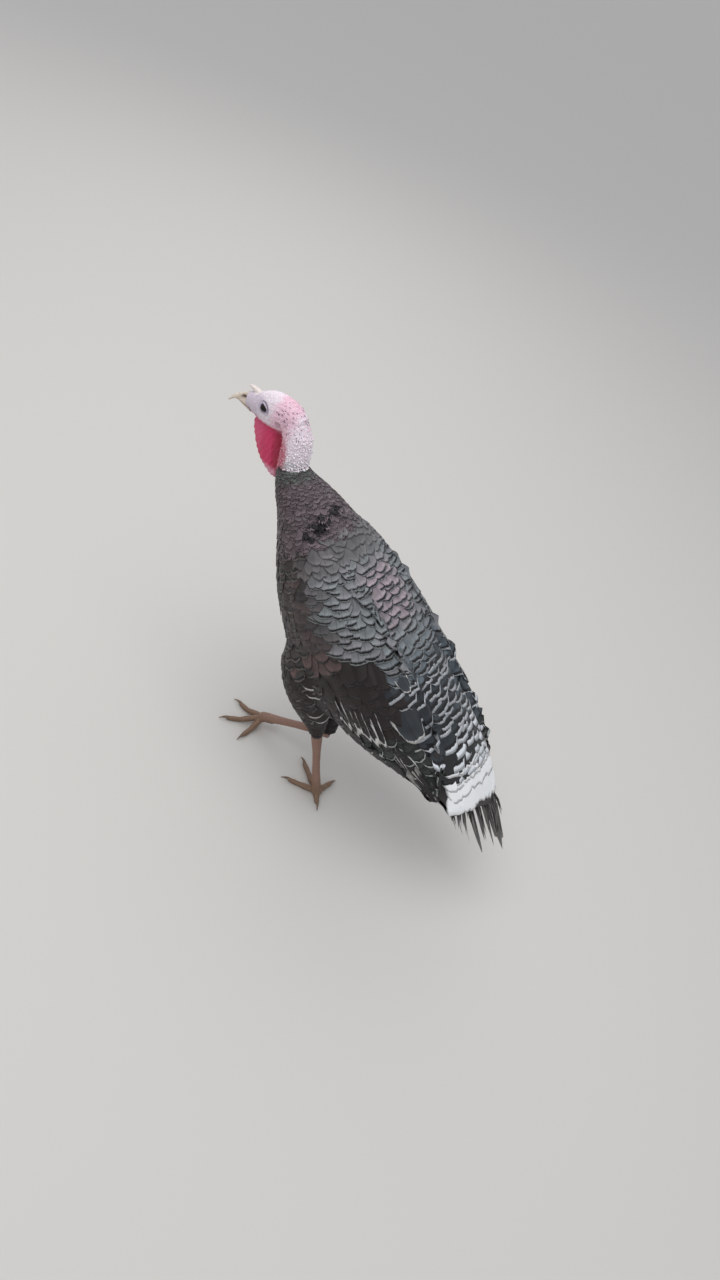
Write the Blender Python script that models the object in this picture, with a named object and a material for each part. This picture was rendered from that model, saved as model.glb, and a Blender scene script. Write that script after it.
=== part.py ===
"""A domestic turkey hen at life size, caught in a walking step.

The left foot stands flat, and the right foot reaches forward and touches down with its
toes. Metres, +Z up. The bird faces -Y, its left side is +X, and the origin is the middle
of the left foot's sole, on the floor.
"""
import math

import bmesh
import bpy
from mathutils import Vector

# ---------------------------------------------------------------- driving dimensions
GAP = 0.0003              # clearance between neighbouring solids
SWELL = 0.0004            # how far a neighbour is swelled before it cuts a solid
WELD = 0.00002            # vertices nearer than this become one
MID_X = -0.030            # plane of symmetry, seen from the left foot

BODY_SIDES = 24           # facets round neck, trunk and tail coverts
EYE_R = 0.0062            # eyeball
EYE_SPREAD = 0.0125       # eyeball centre from the plane of symmetry
EYE_AT = (0.3335, 0.5330)         # forward, height

TOE_R = 0.0056            # toe at its root
TOE_TIP_R = 0.0040        # toe where the claw starts
TOE_CENTRE = 0.0034       # height of a toe's axis over the floor, so its pads are flat
CLAW_LENGTH = 0.0125
CLAW_R = 0.0026
CLAW_SET_IN = 0.0035      # how far a claw is rooted in the end of its toe
PAD_R = 0.0088            # ball of the foot

# Sections from the upper neck to the rim of the tail coverts, along the body's curve:
# forward, height, half width, rise above the curve, drop below it, swing to the left
BODY = (
    (0.2960, 0.5380, 0.0170, 0.0160, 0.0170, 0.0),       # inside the back of the head
    (0.2800, 0.5160, 0.0200, 0.0205, 0.0190, 0.0),       # nape
    (0.2745, 0.4920, 0.0210, 0.0215, 0.0190, 0.0),       # bare neck
    (0.2700, 0.4720, 0.0220, 0.0225, 0.0210, 0.0),       # foot of the bare neck
    (0.2530, 0.4520, 0.0330, 0.0310, 0.0320, 0.0),       # ruff of neck feathers
    (0.2200, 0.4300, 0.0490, 0.0450, 0.0510, 0.0),
    (0.1800, 0.4000, 0.0680, 0.0590, 0.0740, 0.0),       # shoulders and crop
    (0.1320, 0.3640, 0.0850, 0.0700, 0.0980, 0.0),
    (0.0800, 0.3290, 0.0940, 0.0760, 0.1160, 0.0),       # breast
    (0.0250, 0.2950, 0.0960, 0.0770, 0.1200, 0.0),
    (-0.0350, 0.2630, 0.0900, 0.0720, 0.1030, 0.0),      # belly
    (-0.0930, 0.2380, 0.0790, 0.0600, 0.0810, -0.0010),
    (-0.1440, 0.2160, 0.0720, 0.0450, 0.0540, 0.0010),   # root of the tail
    (-0.1820, 0.1950, 0.0680, 0.0290, 0.0330, 0.0070),
    (-0.2100, 0.1750, 0.0650, 0.0140, 0.0150, 0.0150),   # rim of the white coverts
)
NECK_TOP, NECK_FOOT, RUFF_END, RUMP_END = 0.0, 3.0, 5.0, 12.0     # places along BODY

# Head from its back to the root of the bill: forward, height, half width, rise, drop
HEAD = (
    (0.2760, 0.5370, 0.0050, 0.0050, 0.0050),
    (0.2790, 0.5370, 0.0110, 0.0095, 0.0110),
    (0.2870, 0.5380, 0.0155, 0.0135, 0.0170),
    (0.3000, 0.5380, 0.0180, 0.0205, 0.0240),    # crown and ears
    (0.3150, 0.5345, 0.0180, 0.0250, 0.0270),
    (0.3290, 0.5300, 0.0165, 0.0248, 0.0260),    # eyes
    (0.3410, 0.5262, 0.0140, 0.0206, 0.0225),    # forehead
    (0.3510, 0.5235, 0.0120, 0.0165, 0.0165),
    (0.3640, 0.5205, 0.0090, 0.0118, 0.0090),    # root of the bill
)

# The bill, measured from the line where its halves meet
UPPER_BILL = (
    (0.3540, 0.5152, 0.0092, 0.0196, 0.0010),
    (0.3640, 0.5148, 0.0082, 0.0186, 0.0010),
    (0.3725, 0.5140, 0.0062, 0.0114, 0.0010),
    (0.3805, 0.5120, 0.0046, 0.0062, 0.0010),
    (0.3865, 0.5076, 0.0032, 0.0036, 0.0010),
    (0.3915, 0.5008, 0.0012, 0.0016, 0.0009),    # hooked tip
)
LOWER_BILL = (
    (0.3540, 0.5150, 0.0092, 0.0008, 0.0080),
    (0.3640, 0.5146, 0.0078, 0.0008, 0.0060),
    (0.3725, 0.5138, 0.0056, 0.0007, 0.0038),
    (0.3775, 0.5126, 0.0036, 0.0005, 0.0022),
    (0.3800, 0.5117, 0.0014, 0.0004, 0.0010),
)

SNOOD = ((0.3510, 0.5372), (0.3569, 0.5392), (0.3636, 0.5402), (0.3704, 0.5398))
SNOOD_R = (0.0046, 0.0042, 0.0030, 0.0010)

# Throat fold in level slices, from the chin down: forward, height, half its length from
# front to rear, half thickness
DEWLAP = (
    (0.3125, 0.5170, 0.0200, 0.0042),
    (0.3175, 0.5095, 0.0255, 0.0052),
    (0.3170, 0.4980, 0.0295, 0.0066),
    (0.3110, 0.4850, 0.0300, 0.0070),
    (0.3065, 0.4720, 0.0270, 0.0066),
    (0.3020, 0.4600, 0.0225, 0.0060),
    (0.2970, 0.4500, 0.0160, 0.0050),
    (0.2900, 0.4420, 0.0070, 0.0032),
)

# Folded wing: place along BODY, lift over the trunk, angle of its upper and lower edge
# from the middle of the back, thickness
WING = (
    (5.60, 0.0010, 68.0, 84.0, 0.0050),
    (5.80, 0.0030, 54.0, 94.0, 0.0090),          # bend of the wing
    (6.30, 0.0055, 42.0, 104.0, 0.0120),
    (7.00, 0.0075, 34.0, 112.0, 0.0140),
    (8.00, 0.0085, 30.0, 117.0, 0.0140),
    (9.00, 0.0085, 29.0, 119.0, 0.0130),         # coverts
    (10.00, 0.0090, 32.0, 117.0, 0.0115),
    (10.80, 0.0100, 40.0, 112.0, 0.0090),
    (11.50, 0.0110, 54.0, 107.0, 0.0060),        # quills
    (12.10, 0.0110, 69.0, 103.0, 0.0035),
    (12.60, 0.0110, 82.0, 97.0, 0.0016),
)
WING_ARC = 7              # facets across the wing

# Legs: forward, height, left of the plane of symmetry, half thickness
LEFT_THIGH = (
    (0.0490, 0.1140, 0.0270, 0.0115),
    (0.0560, 0.1340, 0.0300, 0.0180),
    (0.0680, 0.1660, 0.0380, 0.0290),
    (0.0850, 0.2050, 0.0470, 0.0400),
    (0.1040, 0.2520, 0.0520, 0.0450),
    (0.1120, 0.2950, 0.0480, 0.0380),
)
RIGHT_THIGH = (
    (0.0410, 0.0870, -0.0140, 0.0115),
    (0.0500, 0.1120, -0.0180, 0.0180),
    (0.0670, 0.1500, -0.0290, 0.0300),
    (0.0860, 0.1950, -0.0400, 0.0400),
    (0.1050, 0.2450, -0.0500, 0.0440),
    (0.1120, 0.2900, -0.0480, 0.0380),
)
LEFT_SHANK = (
    (0.0480, 0.1120, 0.0270, 0.0095),            # hock
    (0.0440, 0.1020, 0.0272, 0.0088),
    (0.0330, 0.0780, 0.0280, 0.0066),
    (0.0200, 0.0480, 0.0290, 0.0062),
    (0.0090, 0.0240, 0.0297, 0.0074),
    (0.0030, 0.0110, 0.0300, 0.0080),
)
RIGHT_SHANK = (
    (0.0395, 0.0845, -0.0140, 0.0095),
    (0.0480, 0.0790, -0.0139, 0.0088),
    (0.0730, 0.0640, -0.0137, 0.0066),
    (0.1040, 0.0450, -0.0134, 0.0062),
    (0.1290, 0.0300, -0.0131, 0.0074),
    (0.1420, 0.0220, -0.0130, 0.0080),
)
# Feet: place of the ball of the foot, and each toe's turn to the bird's left and length
LEFT_PAD = (0.0, 0.0075, 0.030)
LEFT_TOES = (
    ("inner", -104.0, 0.036),
    ("middle", -36.0, 0.058),
    ("outer", 17.0, 0.049),
    ("hind", 128.0, 0.022),
)
RIGHT_PAD = (0.1440, 0.0195, -0.013)
RIGHT_TOES = (
    ("inner", 82.0, 0.045),
    ("middle", 38.0, 0.058),
    ("outer", -8.0, 0.049),
    ("hind", 218.0, 0.022),
)
# Joints and pads along a toe: part of its length, thickness against a plain taper
TOE_PADS = ((-0.12, 0.70), (0.22, 0.92), (0.42, 1.04), (0.62, 0.86), (0.80, 0.98), (0.94, 0.86), (1.0, 0.50))

# Tail quills beyond the coverts: length of each feather, from the right side to the left
TAIL_QUILLS = (0.028, 0.076, 0.062, 0.054, 0.066, 0.048, 0.036, 0.024)
RIM_SKEW = 0.28           # how far the coverts' rim leads on the left, per metre of width
TAIL_FAN = 14.0           # half spread of the tail, in degrees
NOTCH = 0.62              # depth of the notch between two tips, as a part of the shorter one
TAIL_THICKNESS = ((0.0, 0.0055), (0.35, 0.0030), (0.8, 0.0012), (1.0, 0.0004))
TAIL_EDGE = 0.0004        # half thickness at the tips


# ---------------------------------------------------------------- shared tools
def point(forward, height, left=0.0):
    """A place on the bird, measured forward, up, and to its left of the plane of symmetry."""
    return Vector((MID_X + left, -forward, height))


def catmull_rom(p, q, r, s, t):
    """Smooth value between q and r, with p and s as the neighbours on either side."""
    square = 2 * p - 5 * q + 4 * r - s
    cube = 3 * q - p - 3 * r + s
    return 0.5 * (2 * q + (r - p) * t + square * t * t + cube * t ** 3)


def curve_value(rows, place):
    """The smooth value of a table of rows at a fractional place along it."""
    last = len(rows) - 1
    first = min(max(int(math.floor(place)), 0), last - 1)
    around = [rows[min(max(first + k, 0), last)] for k in (-1, 0, 1, 2)]
    return [catmull_rom(*column, place - first) for column in zip(*around)]


def smooth(low, high, value):
    """0 below low, 1 above high, and a smooth step between."""
    t = min(max((value - low) / (high - low), 0.0), 1.0)
    return t * t * (3.0 - 2.0 * t)


def material(name, colour, roughness):
    """A plain finish for one kind of surface."""
    made = bpy.data.materials.new(name)
    made.use_nodes = True
    shader = made.node_tree.nodes["Principled BSDF"]
    shader.inputs["Base Color"].default_value = (*colour, 1.0)
    shader.inputs["Roughness"].default_value = roughness
    shader.inputs["Metallic"].default_value = 0.0
    made.diffuse_color = (*colour, 1.0)
    return made


def collection(name):
    made = bpy.data.collections.new(name)
    bpy.context.scene.collection.children.link(made)
    return made


def solid(name, shape, finish=None):
    """An object from a bmesh: a part of the bird, or a cutter where it has no finish."""
    mesh = bpy.data.meshes.new(name)
    shape.to_mesh(mesh)
    shape.free()
    made = bpy.data.objects.new(name, mesh)
    if finish:
        PARTS.objects.link(made)
        mesh.materials.append(finish)
        mesh.shade_smooth()
        mesh.set_sharp_from_angle(angle=math.radians(50))
    else:
        CUTTERS.objects.link(made)
        made.hide_render = True
        made.display_type = "WIRE"
    return made


def loft(name, rings, finish):
    """A closed solid through rings of equal length; each end is closed by a fan."""
    shape = bmesh.new()
    loops = [[shape.verts.new(p) for p in ring] for ring in rings]
    count = len(rings[0])
    for lower, upper in zip(loops, loops[1:]):
        for k in range(count):
            shape.faces.new((lower[k], lower[(k + 1) % count], upper[(k + 1) % count], upper[k]))
    for loop in (loops[0], loops[-1]):
        middle = shape.verts.new(sum((v.co for v in loop), Vector()) / count)
        for k in range(count):
            shape.faces.new((loop[k], loop[(k + 1) % count], middle))
    bmesh.ops.recalc_face_normals(shape, faces=shape.faces)
    return solid(name, shape, finish)


def ring(centre, across, up, width, rise, drop, sides, fullness=1.0):
    """One cross-section: an oval whose upper and lower halves may differ in depth."""
    points = []
    for k in range(sides):
        angle = 2 * math.pi * k / sides
        side, high = math.sin(angle), math.cos(angle)
        if high < 0:                                             # the lower half may be fuller
            side = math.copysign(abs(side) ** fullness, side)
            high = -abs(high) ** fullness
        depth = rise if high > 0 else drop
        points.append(centre + across * width * side + up * depth * high)
    return points


def tube(name, path, radii, sides, finish, across=Vector((1, 0, 0)), steps=2):
    """A round limb along a list of points, with a radius at each."""
    rows = [(*p, r) for p, r in zip(path, radii)]
    rings = []
    for k in range((len(rows) - 1) * steps + 1):
        place = k / steps
        *centre, radius = curve_value(rows, place)
        ahead = Vector(curve_value(rows, min(place + 0.05, len(rows) - 1))[:3])
        behind = Vector(curve_value(rows, max(place - 0.05, 0))[:3])
        along = (ahead - behind).normalized()
        up = along.cross(across).normalized()
        rings.append(ring(Vector(centre), up.cross(along), up, radius, radius, radius, sides))
    return loft(name, rings, finish)


def swelled(source):
    """A cutter: a copy of a solid, pushed out along its normals by the clearance."""
    shape = bmesh.new()
    shape.from_mesh(source.data)
    shape.normal_update()
    for v in shape.verts:
        v.co += v.normal * SWELL
    return solid(source.name + "_cutter", shape)


def boolean(target, tool, operation, solver="EXACT"):
    """Apply one boolean and keep the result as the target's own mesh."""
    cut = target.modifiers.new(operation.lower(), "BOOLEAN")
    cut.operation = operation
    cut.solver = solver
    cut.object = tool
    bpy.context.view_layer.update()
    graph = bpy.context.evaluated_depsgraph_get()
    result = bpy.data.meshes.new_from_object(target.evaluated_get(graph))
    target.modifiers.clear()
    target.data = result


def cut_by(target, *neighbours, solver="EXACT"):
    """Take the neighbours, with clearance, out of a solid."""
    for neighbour in neighbours:
        boolean(target, swelled(neighbour), "DIFFERENCE", solver)
    keep_largest(target)
    return target


def connected(start, waiting):
    """The vertices joined by edges to a first one, taken out of those still waiting."""
    group, stack = {start}, [start]
    waiting.discard(start)
    while stack:
        for edge in stack.pop().link_edges:
            for v in edge.verts:
                if v in waiting:
                    waiting.discard(v)
                    group.add(v)
                    stack.append(v)
    return group


def keep_largest(target):
    """Weld what a cut leaves, and drop its crumbs."""
    shape = bmesh.new()
    shape.from_mesh(target.data)
    bmesh.ops.remove_doubles(shape, verts=shape.verts, dist=WELD)
    bmesh.ops.dissolve_degenerate(shape, edges=shape.edges, dist=WELD)
    waiting = set(shape.verts)
    groups = []
    while waiting:
        groups.append(connected(next(iter(waiting)), waiting))
    largest = max(groups, key=len)
    crumbs = [v for v in shape.verts if v not in largest]
    bmesh.ops.delete(shape, geom=crumbs, context="VERTS")
    shape.to_mesh(target.data)
    shape.free()


# ---------------------------------------------------------------- neck, trunk and tail coverts
def body_frame(place):
    """Centre, direction to the tail, direction to the left and to the back, and the depths."""
    forward, height, width, rise, drop, swing = curve_value(BODY, place)
    ahead = curve_value(BODY, min(place + 0.1, len(BODY) - 1))
    behind = curve_value(BODY, max(place - 0.1, 0))
    along = (point(ahead[0], ahead[1], ahead[5]) - point(behind[0], behind[1], behind[5])).normalized()
    up = along.cross(Vector((-1, 0, 0))).normalized()
    left = up.cross(along).normalized() * -1.0
    return point(forward, height, swing), along, left, up, width, rise, drop


def breast_fullness(place):
    """Below 1 the lower half of a section is fuller than an oval: breast, belly and vent."""
    return 1.0 - 0.20 * smooth(4.5, 6.5, place) * (1.0 - smooth(11.0, 13.0, place))


def body_piece(name, start, end, steps, finish):
    """The part of the body between two places, cut square to its curve."""
    rings = []
    for k in range(steps + 1):
        place = start + (end - start) * k / steps
        centre, along, left, up, width, rise, drop = body_frame(place)
        if k == 0 and start > 0:
            centre = centre + along * GAP / 2
        if k == steps and end < len(BODY) - 1:
            centre = centre - along * GAP / 2
        section = ring(centre, left, up, width, rise, drop, BODY_SIDES, breast_fullness(place))
        skew = RIM_SKEW * smooth(RUMP_END, len(BODY) - 1, place)
        rings.append([p - along * skew * (p - centre).dot(left) for p in section])
    return loft(name, rings, finish)


def head_piece(name, rows, steps, sides, finish):
    """A loft that runs forward along the head or the bill."""
    across = Vector((1, 0, 0))
    last = len(rows) - 1
    rings = []
    for k in range(steps + 1):
        place = last * k / steps
        forward, height, width, rise, drop = curve_value(rows, place)
        ahead = curve_value(rows, min(place + 0.1, last))
        behind = curve_value(rows, max(place - 0.1, 0))
        along = (point(*ahead[:2]) - point(*behind[:2])).normalized()
        up = along.cross(across).normalized()
        rings.append(ring(point(forward, height), across, up, width, rise, drop, sides))
    return loft(name, rings, finish)


def eyeball(name, side):
    """A ball set in the side of the head."""
    shape = bmesh.new()
    bmesh.ops.create_uvsphere(shape, u_segments=12, v_segments=8, radius=EYE_R)
    centre = point(*EYE_AT, side * EYE_SPREAD)
    bmesh.ops.translate(shape, verts=shape.verts, vec=centre)
    return solid(name, shape, EYE)


def throat_fold(name, steps=11, sides=12):
    """The hanging fold of skin from the chin to the foot of the neck."""
    across, ahead = Vector((1, 0, 0)), Vector((0, -1, 0))
    rings = []
    for k in range(steps + 1):
        forward, height, long, thick = curve_value(DEWLAP, (len(DEWLAP) - 1) * k / steps)
        rings.append(ring(point(forward, height), across, ahead, thick, long, long, sides))
    return loft(name, rings, WATTLE)


def horn_on_brow(name):
    """The snood: a short fleshy horn that points forward from the root of the bill."""
    path = [point(*place) for place in SNOOD]
    return tube(name, path, SNOOD_R, 10, BARE_SKIN)


def folded_wing(name, side, steps=16):
    """A curved blade that hugs the trunk from the shoulder to the rump."""
    rings = []
    for k in range(steps + 1):
        place, lift, top, bottom, thick = curve_value(WING, (len(WING) - 1) * k / steps)
        centre, _, left, up, width, rise, drop = body_frame(place)
        outer, inner = [], []
        for j in range(WING_ARC + 1):
            t = j / WING_ARC
            angle = math.radians(top + (bottom - top) * t)
            depth = rise if angle < math.pi / 2 else drop
            bulge = math.sqrt(max(1.0 - (2.0 * t - 1.0) ** 2, 0.0))
            for radius, arc in ((lift, outer), (lift - thick * (0.15 + 0.85 * bulge), inner)):
                sideways = left * side * (width + radius) * math.sin(angle)
                arc.append(centre + sideways + up * (depth + radius) * math.cos(angle))
        rings.append(outer + inner[::-1])
    return loft(name, rings, PLUMAGE)


def quill_reach(spread_place):
    """Length of the tail at a place across it: a rounded tip for each feather, notches between."""
    feather = min(int(spread_place), len(TAIL_QUILLS) - 1)
    inside = spread_place - feather
    beside = max(feather - 1, 0) if inside < 0.5 else min(feather + 1, len(TAIL_QUILLS) - 1)
    notch = NOTCH * min(TAIL_QUILLS[feather], TAIL_QUILLS[beside])
    rounded = max(1.0 - (2.0 * inside - 1.0) ** 2, 0.0) ** 0.6
    return notch + (TAIL_QUILLS[feather] - notch) * rounded


def tail_fan(name, slices=3):
    """The quills of the closed tail: one thin fan with a separate tip for each feather."""
    centre, along, left, up, width, _, _ = body_frame(len(BODY) - 1)
    root = centre + along * (GAP / 2)
    rings = []
    for k in range(len(TAIL_QUILLS) * slices + 1):
        length = quill_reach(k / slices)
        spread = 2.0 * k / (len(TAIL_QUILLS) * slices) - 1.0     # -1 right edge, 1 left edge
        turn = math.radians(TAIL_FAN) * spread
        sweep = along * math.cos(turn) + left * math.sin(turn)
        start = root + (left - along * RIM_SKEW) * spread * (width - 0.006)
        crown = 1.0 - 0.75 * spread ** 2                         # thickest in the middle
        upper, lower = [], []
        for part, half in TAIL_THICKNESS:
            lift = up * max(half * crown, TAIL_EDGE)
            upper.append(start + sweep * length * part + lift)
            lower.append(start + sweep * length * part - lift)
        rings.append(upper + lower[::-1])
    return loft(name, rings, PLUMAGE)


def limb(name, rows, sides, finish):
    """A thigh or a shank from its table."""
    return tube(name, [point(*row[:3]) for row in rows], [row[3] for row in rows], sides, finish)


def floor_block():
    """A cutter for everything below the floor."""
    shape = bmesh.new()
    bmesh.ops.create_cube(shape, size=1.0)
    bmesh.ops.translate(shape, verts=shape.verts, vec=(0.0, 0.0, -0.5))
    return solid("floor_cutter", shape)


def toe_path(pad, toe_name, turn, length):
    """Centres and radii of a toe that comes down from the ball of the foot to the floor."""
    heading = math.radians(turn)
    out = Vector((math.sin(heading), -math.cos(heading), 0.0))
    root_height = pad[1] - 0.002
    raised = toe_name == "hind" and pad[1] > 2 * PAD_R
    end_height = pad[1] - 0.008 if raised else TOE_CENTRE
    path, radii = [], []
    for t, swell in TOE_PADS:
        height = root_height + (end_height - root_height) * smooth(0.0, 0.72, t)
        spot = point(*pad) + out * length * t
        path.append(Vector((spot.x, spot.y, height)))
        radii.append((TOE_R + (TOE_TIP_R - TOE_R) * t) * swell)
    return out, path, radii


def claw(name, root, out):
    """A curved nail that leaves the end of a toe and bends down to the floor."""
    path, radii = [], []
    for t in (0.0, 0.25, 0.5, 0.75, 1.0):
        arch = 0.0012 + 0.0010 * math.sin(math.pi * t) - 0.0040 * t * t
        path.append(root + out * (CLAW_LENGTH * 1.25 * t - CLAW_SET_IN) + Vector((0, 0, arch)))
        radii.append(CLAW_R * (1.0 - 0.84 * smooth(0.1, 1.1, t)))
    return tube(name, path, radii, 8, CLAW, out.cross(Vector((0, 0, 1))), steps=1)


def foot(side_name, pad, toes):
    """Toes and ball of the foot as one solid with flat undersides, and a claw for each toe."""
    shape = bmesh.new()
    bmesh.ops.create_uvsphere(shape, u_segments=14, v_segments=8, radius=PAD_R)
    bmesh.ops.translate(shape, verts=shape.verts, vec=point(*pad))
    body = solid(f"foot_{side_name}", shape, SCUTES)
    claws = []
    for toe_name, turn, length in toes:
        out, path, radii = toe_path(pad, toe_name, turn, length)
        toe = tube("toe", path, radii, 10, SCUTES, out.cross(Vector((0, 0, 1))), steps=1)
        boolean(body, toe, "UNION", "MANIFOLD")
        bpy.data.objects.remove(toe, do_unlink=True)
        claws.append(claw(f"claw_{side_name}_{toe_name}", path[-1], out))
    for piece in [body] + claws:
        boolean(piece, FLOOR, "DIFFERENCE")
        keep_largest(piece)
    for nail in claws:
        cut_by(nail, body)
    return body


# ---------------------------------------------------------------- the bird
for old in list(bpy.data.objects):
    bpy.data.objects.remove(old, do_unlink=True)
PARTS = collection("turkey")
CUTTERS = collection("cutters")
FLOOR = floor_block()

PLUMAGE = material("plumage", (0.055, 0.052, 0.050), 0.5)
BARE_SKIN = material("bare_skin", (0.75, 0.60, 0.62), 0.55)
WATTLE = material("wattle", (0.62, 0.06, 0.12), 0.45)
HORN = material("bill_horn", (0.70, 0.62, 0.48), 0.4)
EYE = material("eye", (0.02, 0.015, 0.012), 0.1)
SCUTES = material("leg_scales", (0.48, 0.33, 0.27), 0.5)
CLAW = material("claw_horn", (0.22, 0.17, 0.13), 0.4)

# Body, from the feathered foot of the neck to the tips of the tail
ruff = body_piece("neck_ruff", NECK_FOOT, RUFF_END, 4, PLUMAGE)
trunk = body_piece("trunk", RUFF_END, RUMP_END, 14, PLUMAGE)
coverts = body_piece("tail_coverts", RUMP_END, len(BODY) - 1, 4, PLUMAGE)
tail_fan("tail")

# Head and neck
head = head_piece("head", HEAD, 13, 20, BARE_SKIN)
cut_by(head, eyeball("eye_left", 1), eyeball("eye_right", -1))
upper_bill = cut_by(head_piece("bill_upper", UPPER_BILL, 8, 16, HORN), head)
lower_bill = cut_by(head_piece("bill_lower", LOWER_BILL, 6, 16, HORN), head, upper_bill)
cut_by(horn_on_brow("snood"), head)
neck = cut_by(body_piece("neck", NECK_TOP, NECK_FOOT, 6, BARE_SKIN), head)
cut_by(throat_fold("dewlap"), head, neck, ruff, lower_bill)

# Legs and wings
for side_name, side, thigh_rows, shank_rows, pad, toes in (
    ("left", 1, LEFT_THIGH, LEFT_SHANK, LEFT_PAD, LEFT_TOES),
    ("right", -1, RIGHT_THIGH, RIGHT_SHANK, RIGHT_PAD, RIGHT_TOES),
):
    sole = foot(side_name, pad, toes)
    thigh = cut_by(limb(f"thigh_{side_name}", thigh_rows, 18, PLUMAGE), trunk)
    cut_by(limb(f"shank_{side_name}", shank_rows, 12, SCUTES), sole, thigh, solver="MANIFOLD")
    cut_by(folded_wing(f"wing_{side_name}", side), trunk, thigh, coverts)

for cutter in list(CUTTERS.objects):
    bpy.data.objects.remove(cutter, do_unlink=True)
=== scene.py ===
"""A domestic turkey hen as a life-size museum model: skin, bill, eyes, claws and feathers."""
import math

import bmesh
import bpy
import numpy as np
from mathutils import Matrix, Vector
from mathutils.bvhtree import BVHTree


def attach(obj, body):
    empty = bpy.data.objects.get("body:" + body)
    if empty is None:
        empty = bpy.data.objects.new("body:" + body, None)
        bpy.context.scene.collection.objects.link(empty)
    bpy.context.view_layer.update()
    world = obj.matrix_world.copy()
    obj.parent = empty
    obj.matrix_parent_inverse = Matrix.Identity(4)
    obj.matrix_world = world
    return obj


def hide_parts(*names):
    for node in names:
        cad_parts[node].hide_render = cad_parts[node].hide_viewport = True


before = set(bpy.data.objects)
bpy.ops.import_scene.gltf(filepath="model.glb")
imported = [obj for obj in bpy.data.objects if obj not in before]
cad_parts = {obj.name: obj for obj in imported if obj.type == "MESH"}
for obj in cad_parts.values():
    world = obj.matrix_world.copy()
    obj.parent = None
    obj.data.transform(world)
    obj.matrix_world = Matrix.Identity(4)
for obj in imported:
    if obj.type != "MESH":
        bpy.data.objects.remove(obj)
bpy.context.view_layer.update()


# ------------------------------------------------------------------ camera, floor and light
# The bird is seen from its left and from above, with the camera held at a slant. Around it is
# a studio: a plain pale floor, a bright sky of cloth, a large lamp overhead and a weak one aside.
EYE_POINT = Vector((1.0895, 0.1293, 1.30))
LOOK = Vector((-0.7376, -0.1301, -0.6626)).normalized()
SLANT = math.radians(30.4)
IMAGE_HEIGHT, FOCAL_LENGTH, SENSOR = 1280, 1050, 36.0
FLOOR_SIZE, SKY_STRENGTH = 60.0, 0.72
LAMPS = (((0.5, -0.3, 2.4), 1.8, 26.0), ((-1.4, -1.2, 1.6), 1.6, 7.0))  # place, size, power
LAMP_AIM = Vector((0, 0, 0.25))


def srgb(red, green, blue):
    """A colour in screen values from 0 to 255, as linear light."""
    scaled = np.array((red, green, blue)) / 255.0
    return np.where(scaled <= 0.04045, scaled / 12.92, ((scaled + 0.055) / 1.055) ** 2.4)


def palette(*colours):
    return [srgb(*colour) for colour in colours]


class Finish:
    """A node material. Each call adds one node, fills its inputs and gives one output."""

    def __init__(self, name, roughness=0.5):
        self.material = bpy.data.materials.new(name)
        self.material.use_nodes = True
        self.tree = self.material.node_tree
        self.shade({"Roughness": roughness})

    def fill(self, node, inputs):
        for key, value in inputs.items():
            if isinstance(value, bpy.types.NodeSocket):
                self.tree.links.new(value, node.inputs[key])
            else:
                node.inputs[key].default_value = value

    def shade(self, inputs):
        self.fill(self.tree.nodes["Principled BSDF"], inputs)

    def add(self, kind, inputs=None, output=0, **settings):
        node = self.tree.nodes.new("ShaderNode" + kind)
        for key, value in settings.items():
            setattr(node, key, value)
        self.fill(node, inputs or {})
        return node.outputs[output]

    def attribute(self, name):
        return self.add("Attribute", output="Color", attribute_name=name)

    def noise(self, where, scale, **more):
        return self.add("TexNoise", {"Vector": where, "Scale": scale, **more}, "Fac")

    def ramp(self, factor, *stops):
        """Colours at places along a factor; the first two stops are its ends."""
        output = self.add("ValToRGB", {"Fac": factor}, "Color")
        elements = output.node.color_ramp.elements
        for k, (place, colour) in enumerate(stops):
            element = elements[k] if k < 2 else elements.new(place)
            element.position, element.color = place, (*colour, 1)
        return output

    def bump(self, height, strength, distance):
        inputs = {"Height": height, "Strength": strength, "Distance": distance}
        return self.add("Bump", inputs, "Normal")

    def calculate(self, operation, *values):
        return self.add("Math", dict(enumerate(values)), operation=operation)

    def step(self, value, start, end):
        """0 before start, 1 after end, smooth between."""
        inputs = {"Value": value, "From Min": start, "From Max": end}
        return self.add("MapRange", inputs, "Result", interpolation_type="SMOOTHSTEP")

    def lay(self, below, above, share, blend_type="MIX"):
        """One colour laid over another by a share."""
        node = self.add("Mix", data_type="RGBA", blend_type=blend_type).node
        self.fill(node, {"A": below, "B": above, "Factor": share})
        return node.outputs["Result"]

    def scale(self, colour, factor):
        return self.add("VectorMath", {0: colour, "Scale": factor}, "Vector", operation="SCALE")


level_right = LOOK.cross(Vector((0, 0, 1))).normalized()
level_up = level_right.cross(LOOK)
right = level_right * math.cos(SLANT) + level_up * math.sin(SLANT)
up = level_up * math.cos(SLANT) - level_right * math.sin(SLANT)
turned = Matrix((right, up, -LOOK)).transposed().to_4x4()
lens = bpy.data.cameras.new("camera")
lens.sensor_fit = "AUTO"
lens.sensor_width = SENSOR
lens.lens = FOCAL_LENGTH / IMAGE_HEIGHT * SENSOR
lens.clip_start = 0.02
camera = bpy.data.objects.new("camera", lens)
camera.matrix_world = Matrix.Translation(EYE_POINT) @ turned
bpy.context.scene.collection.objects.link(camera)
bpy.context.scene.camera = camera
bpy.context.scene.view_settings.view_transform = "Standard"

floor_finish = Finish("pale_floor", 0.85)
mottle = floor_finish.add("TexNoise", {"Scale": 3.0}, "Fac")
mottle = floor_finish.ramp(mottle, (0.0, srgb(204, 200, 194)), (1.0, srgb(214, 210, 204)))
floor_finish.shade({"Base Color": mottle})
bpy.ops.object.select_all(action="DESELECT")
bpy.ops.mesh.primitive_plane_add(size=FLOOR_SIZE, location=(0, 0, 0))
floor = bpy.context.object
floor.name = "floor"
floor.data.materials.append(floor_finish.material)

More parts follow.
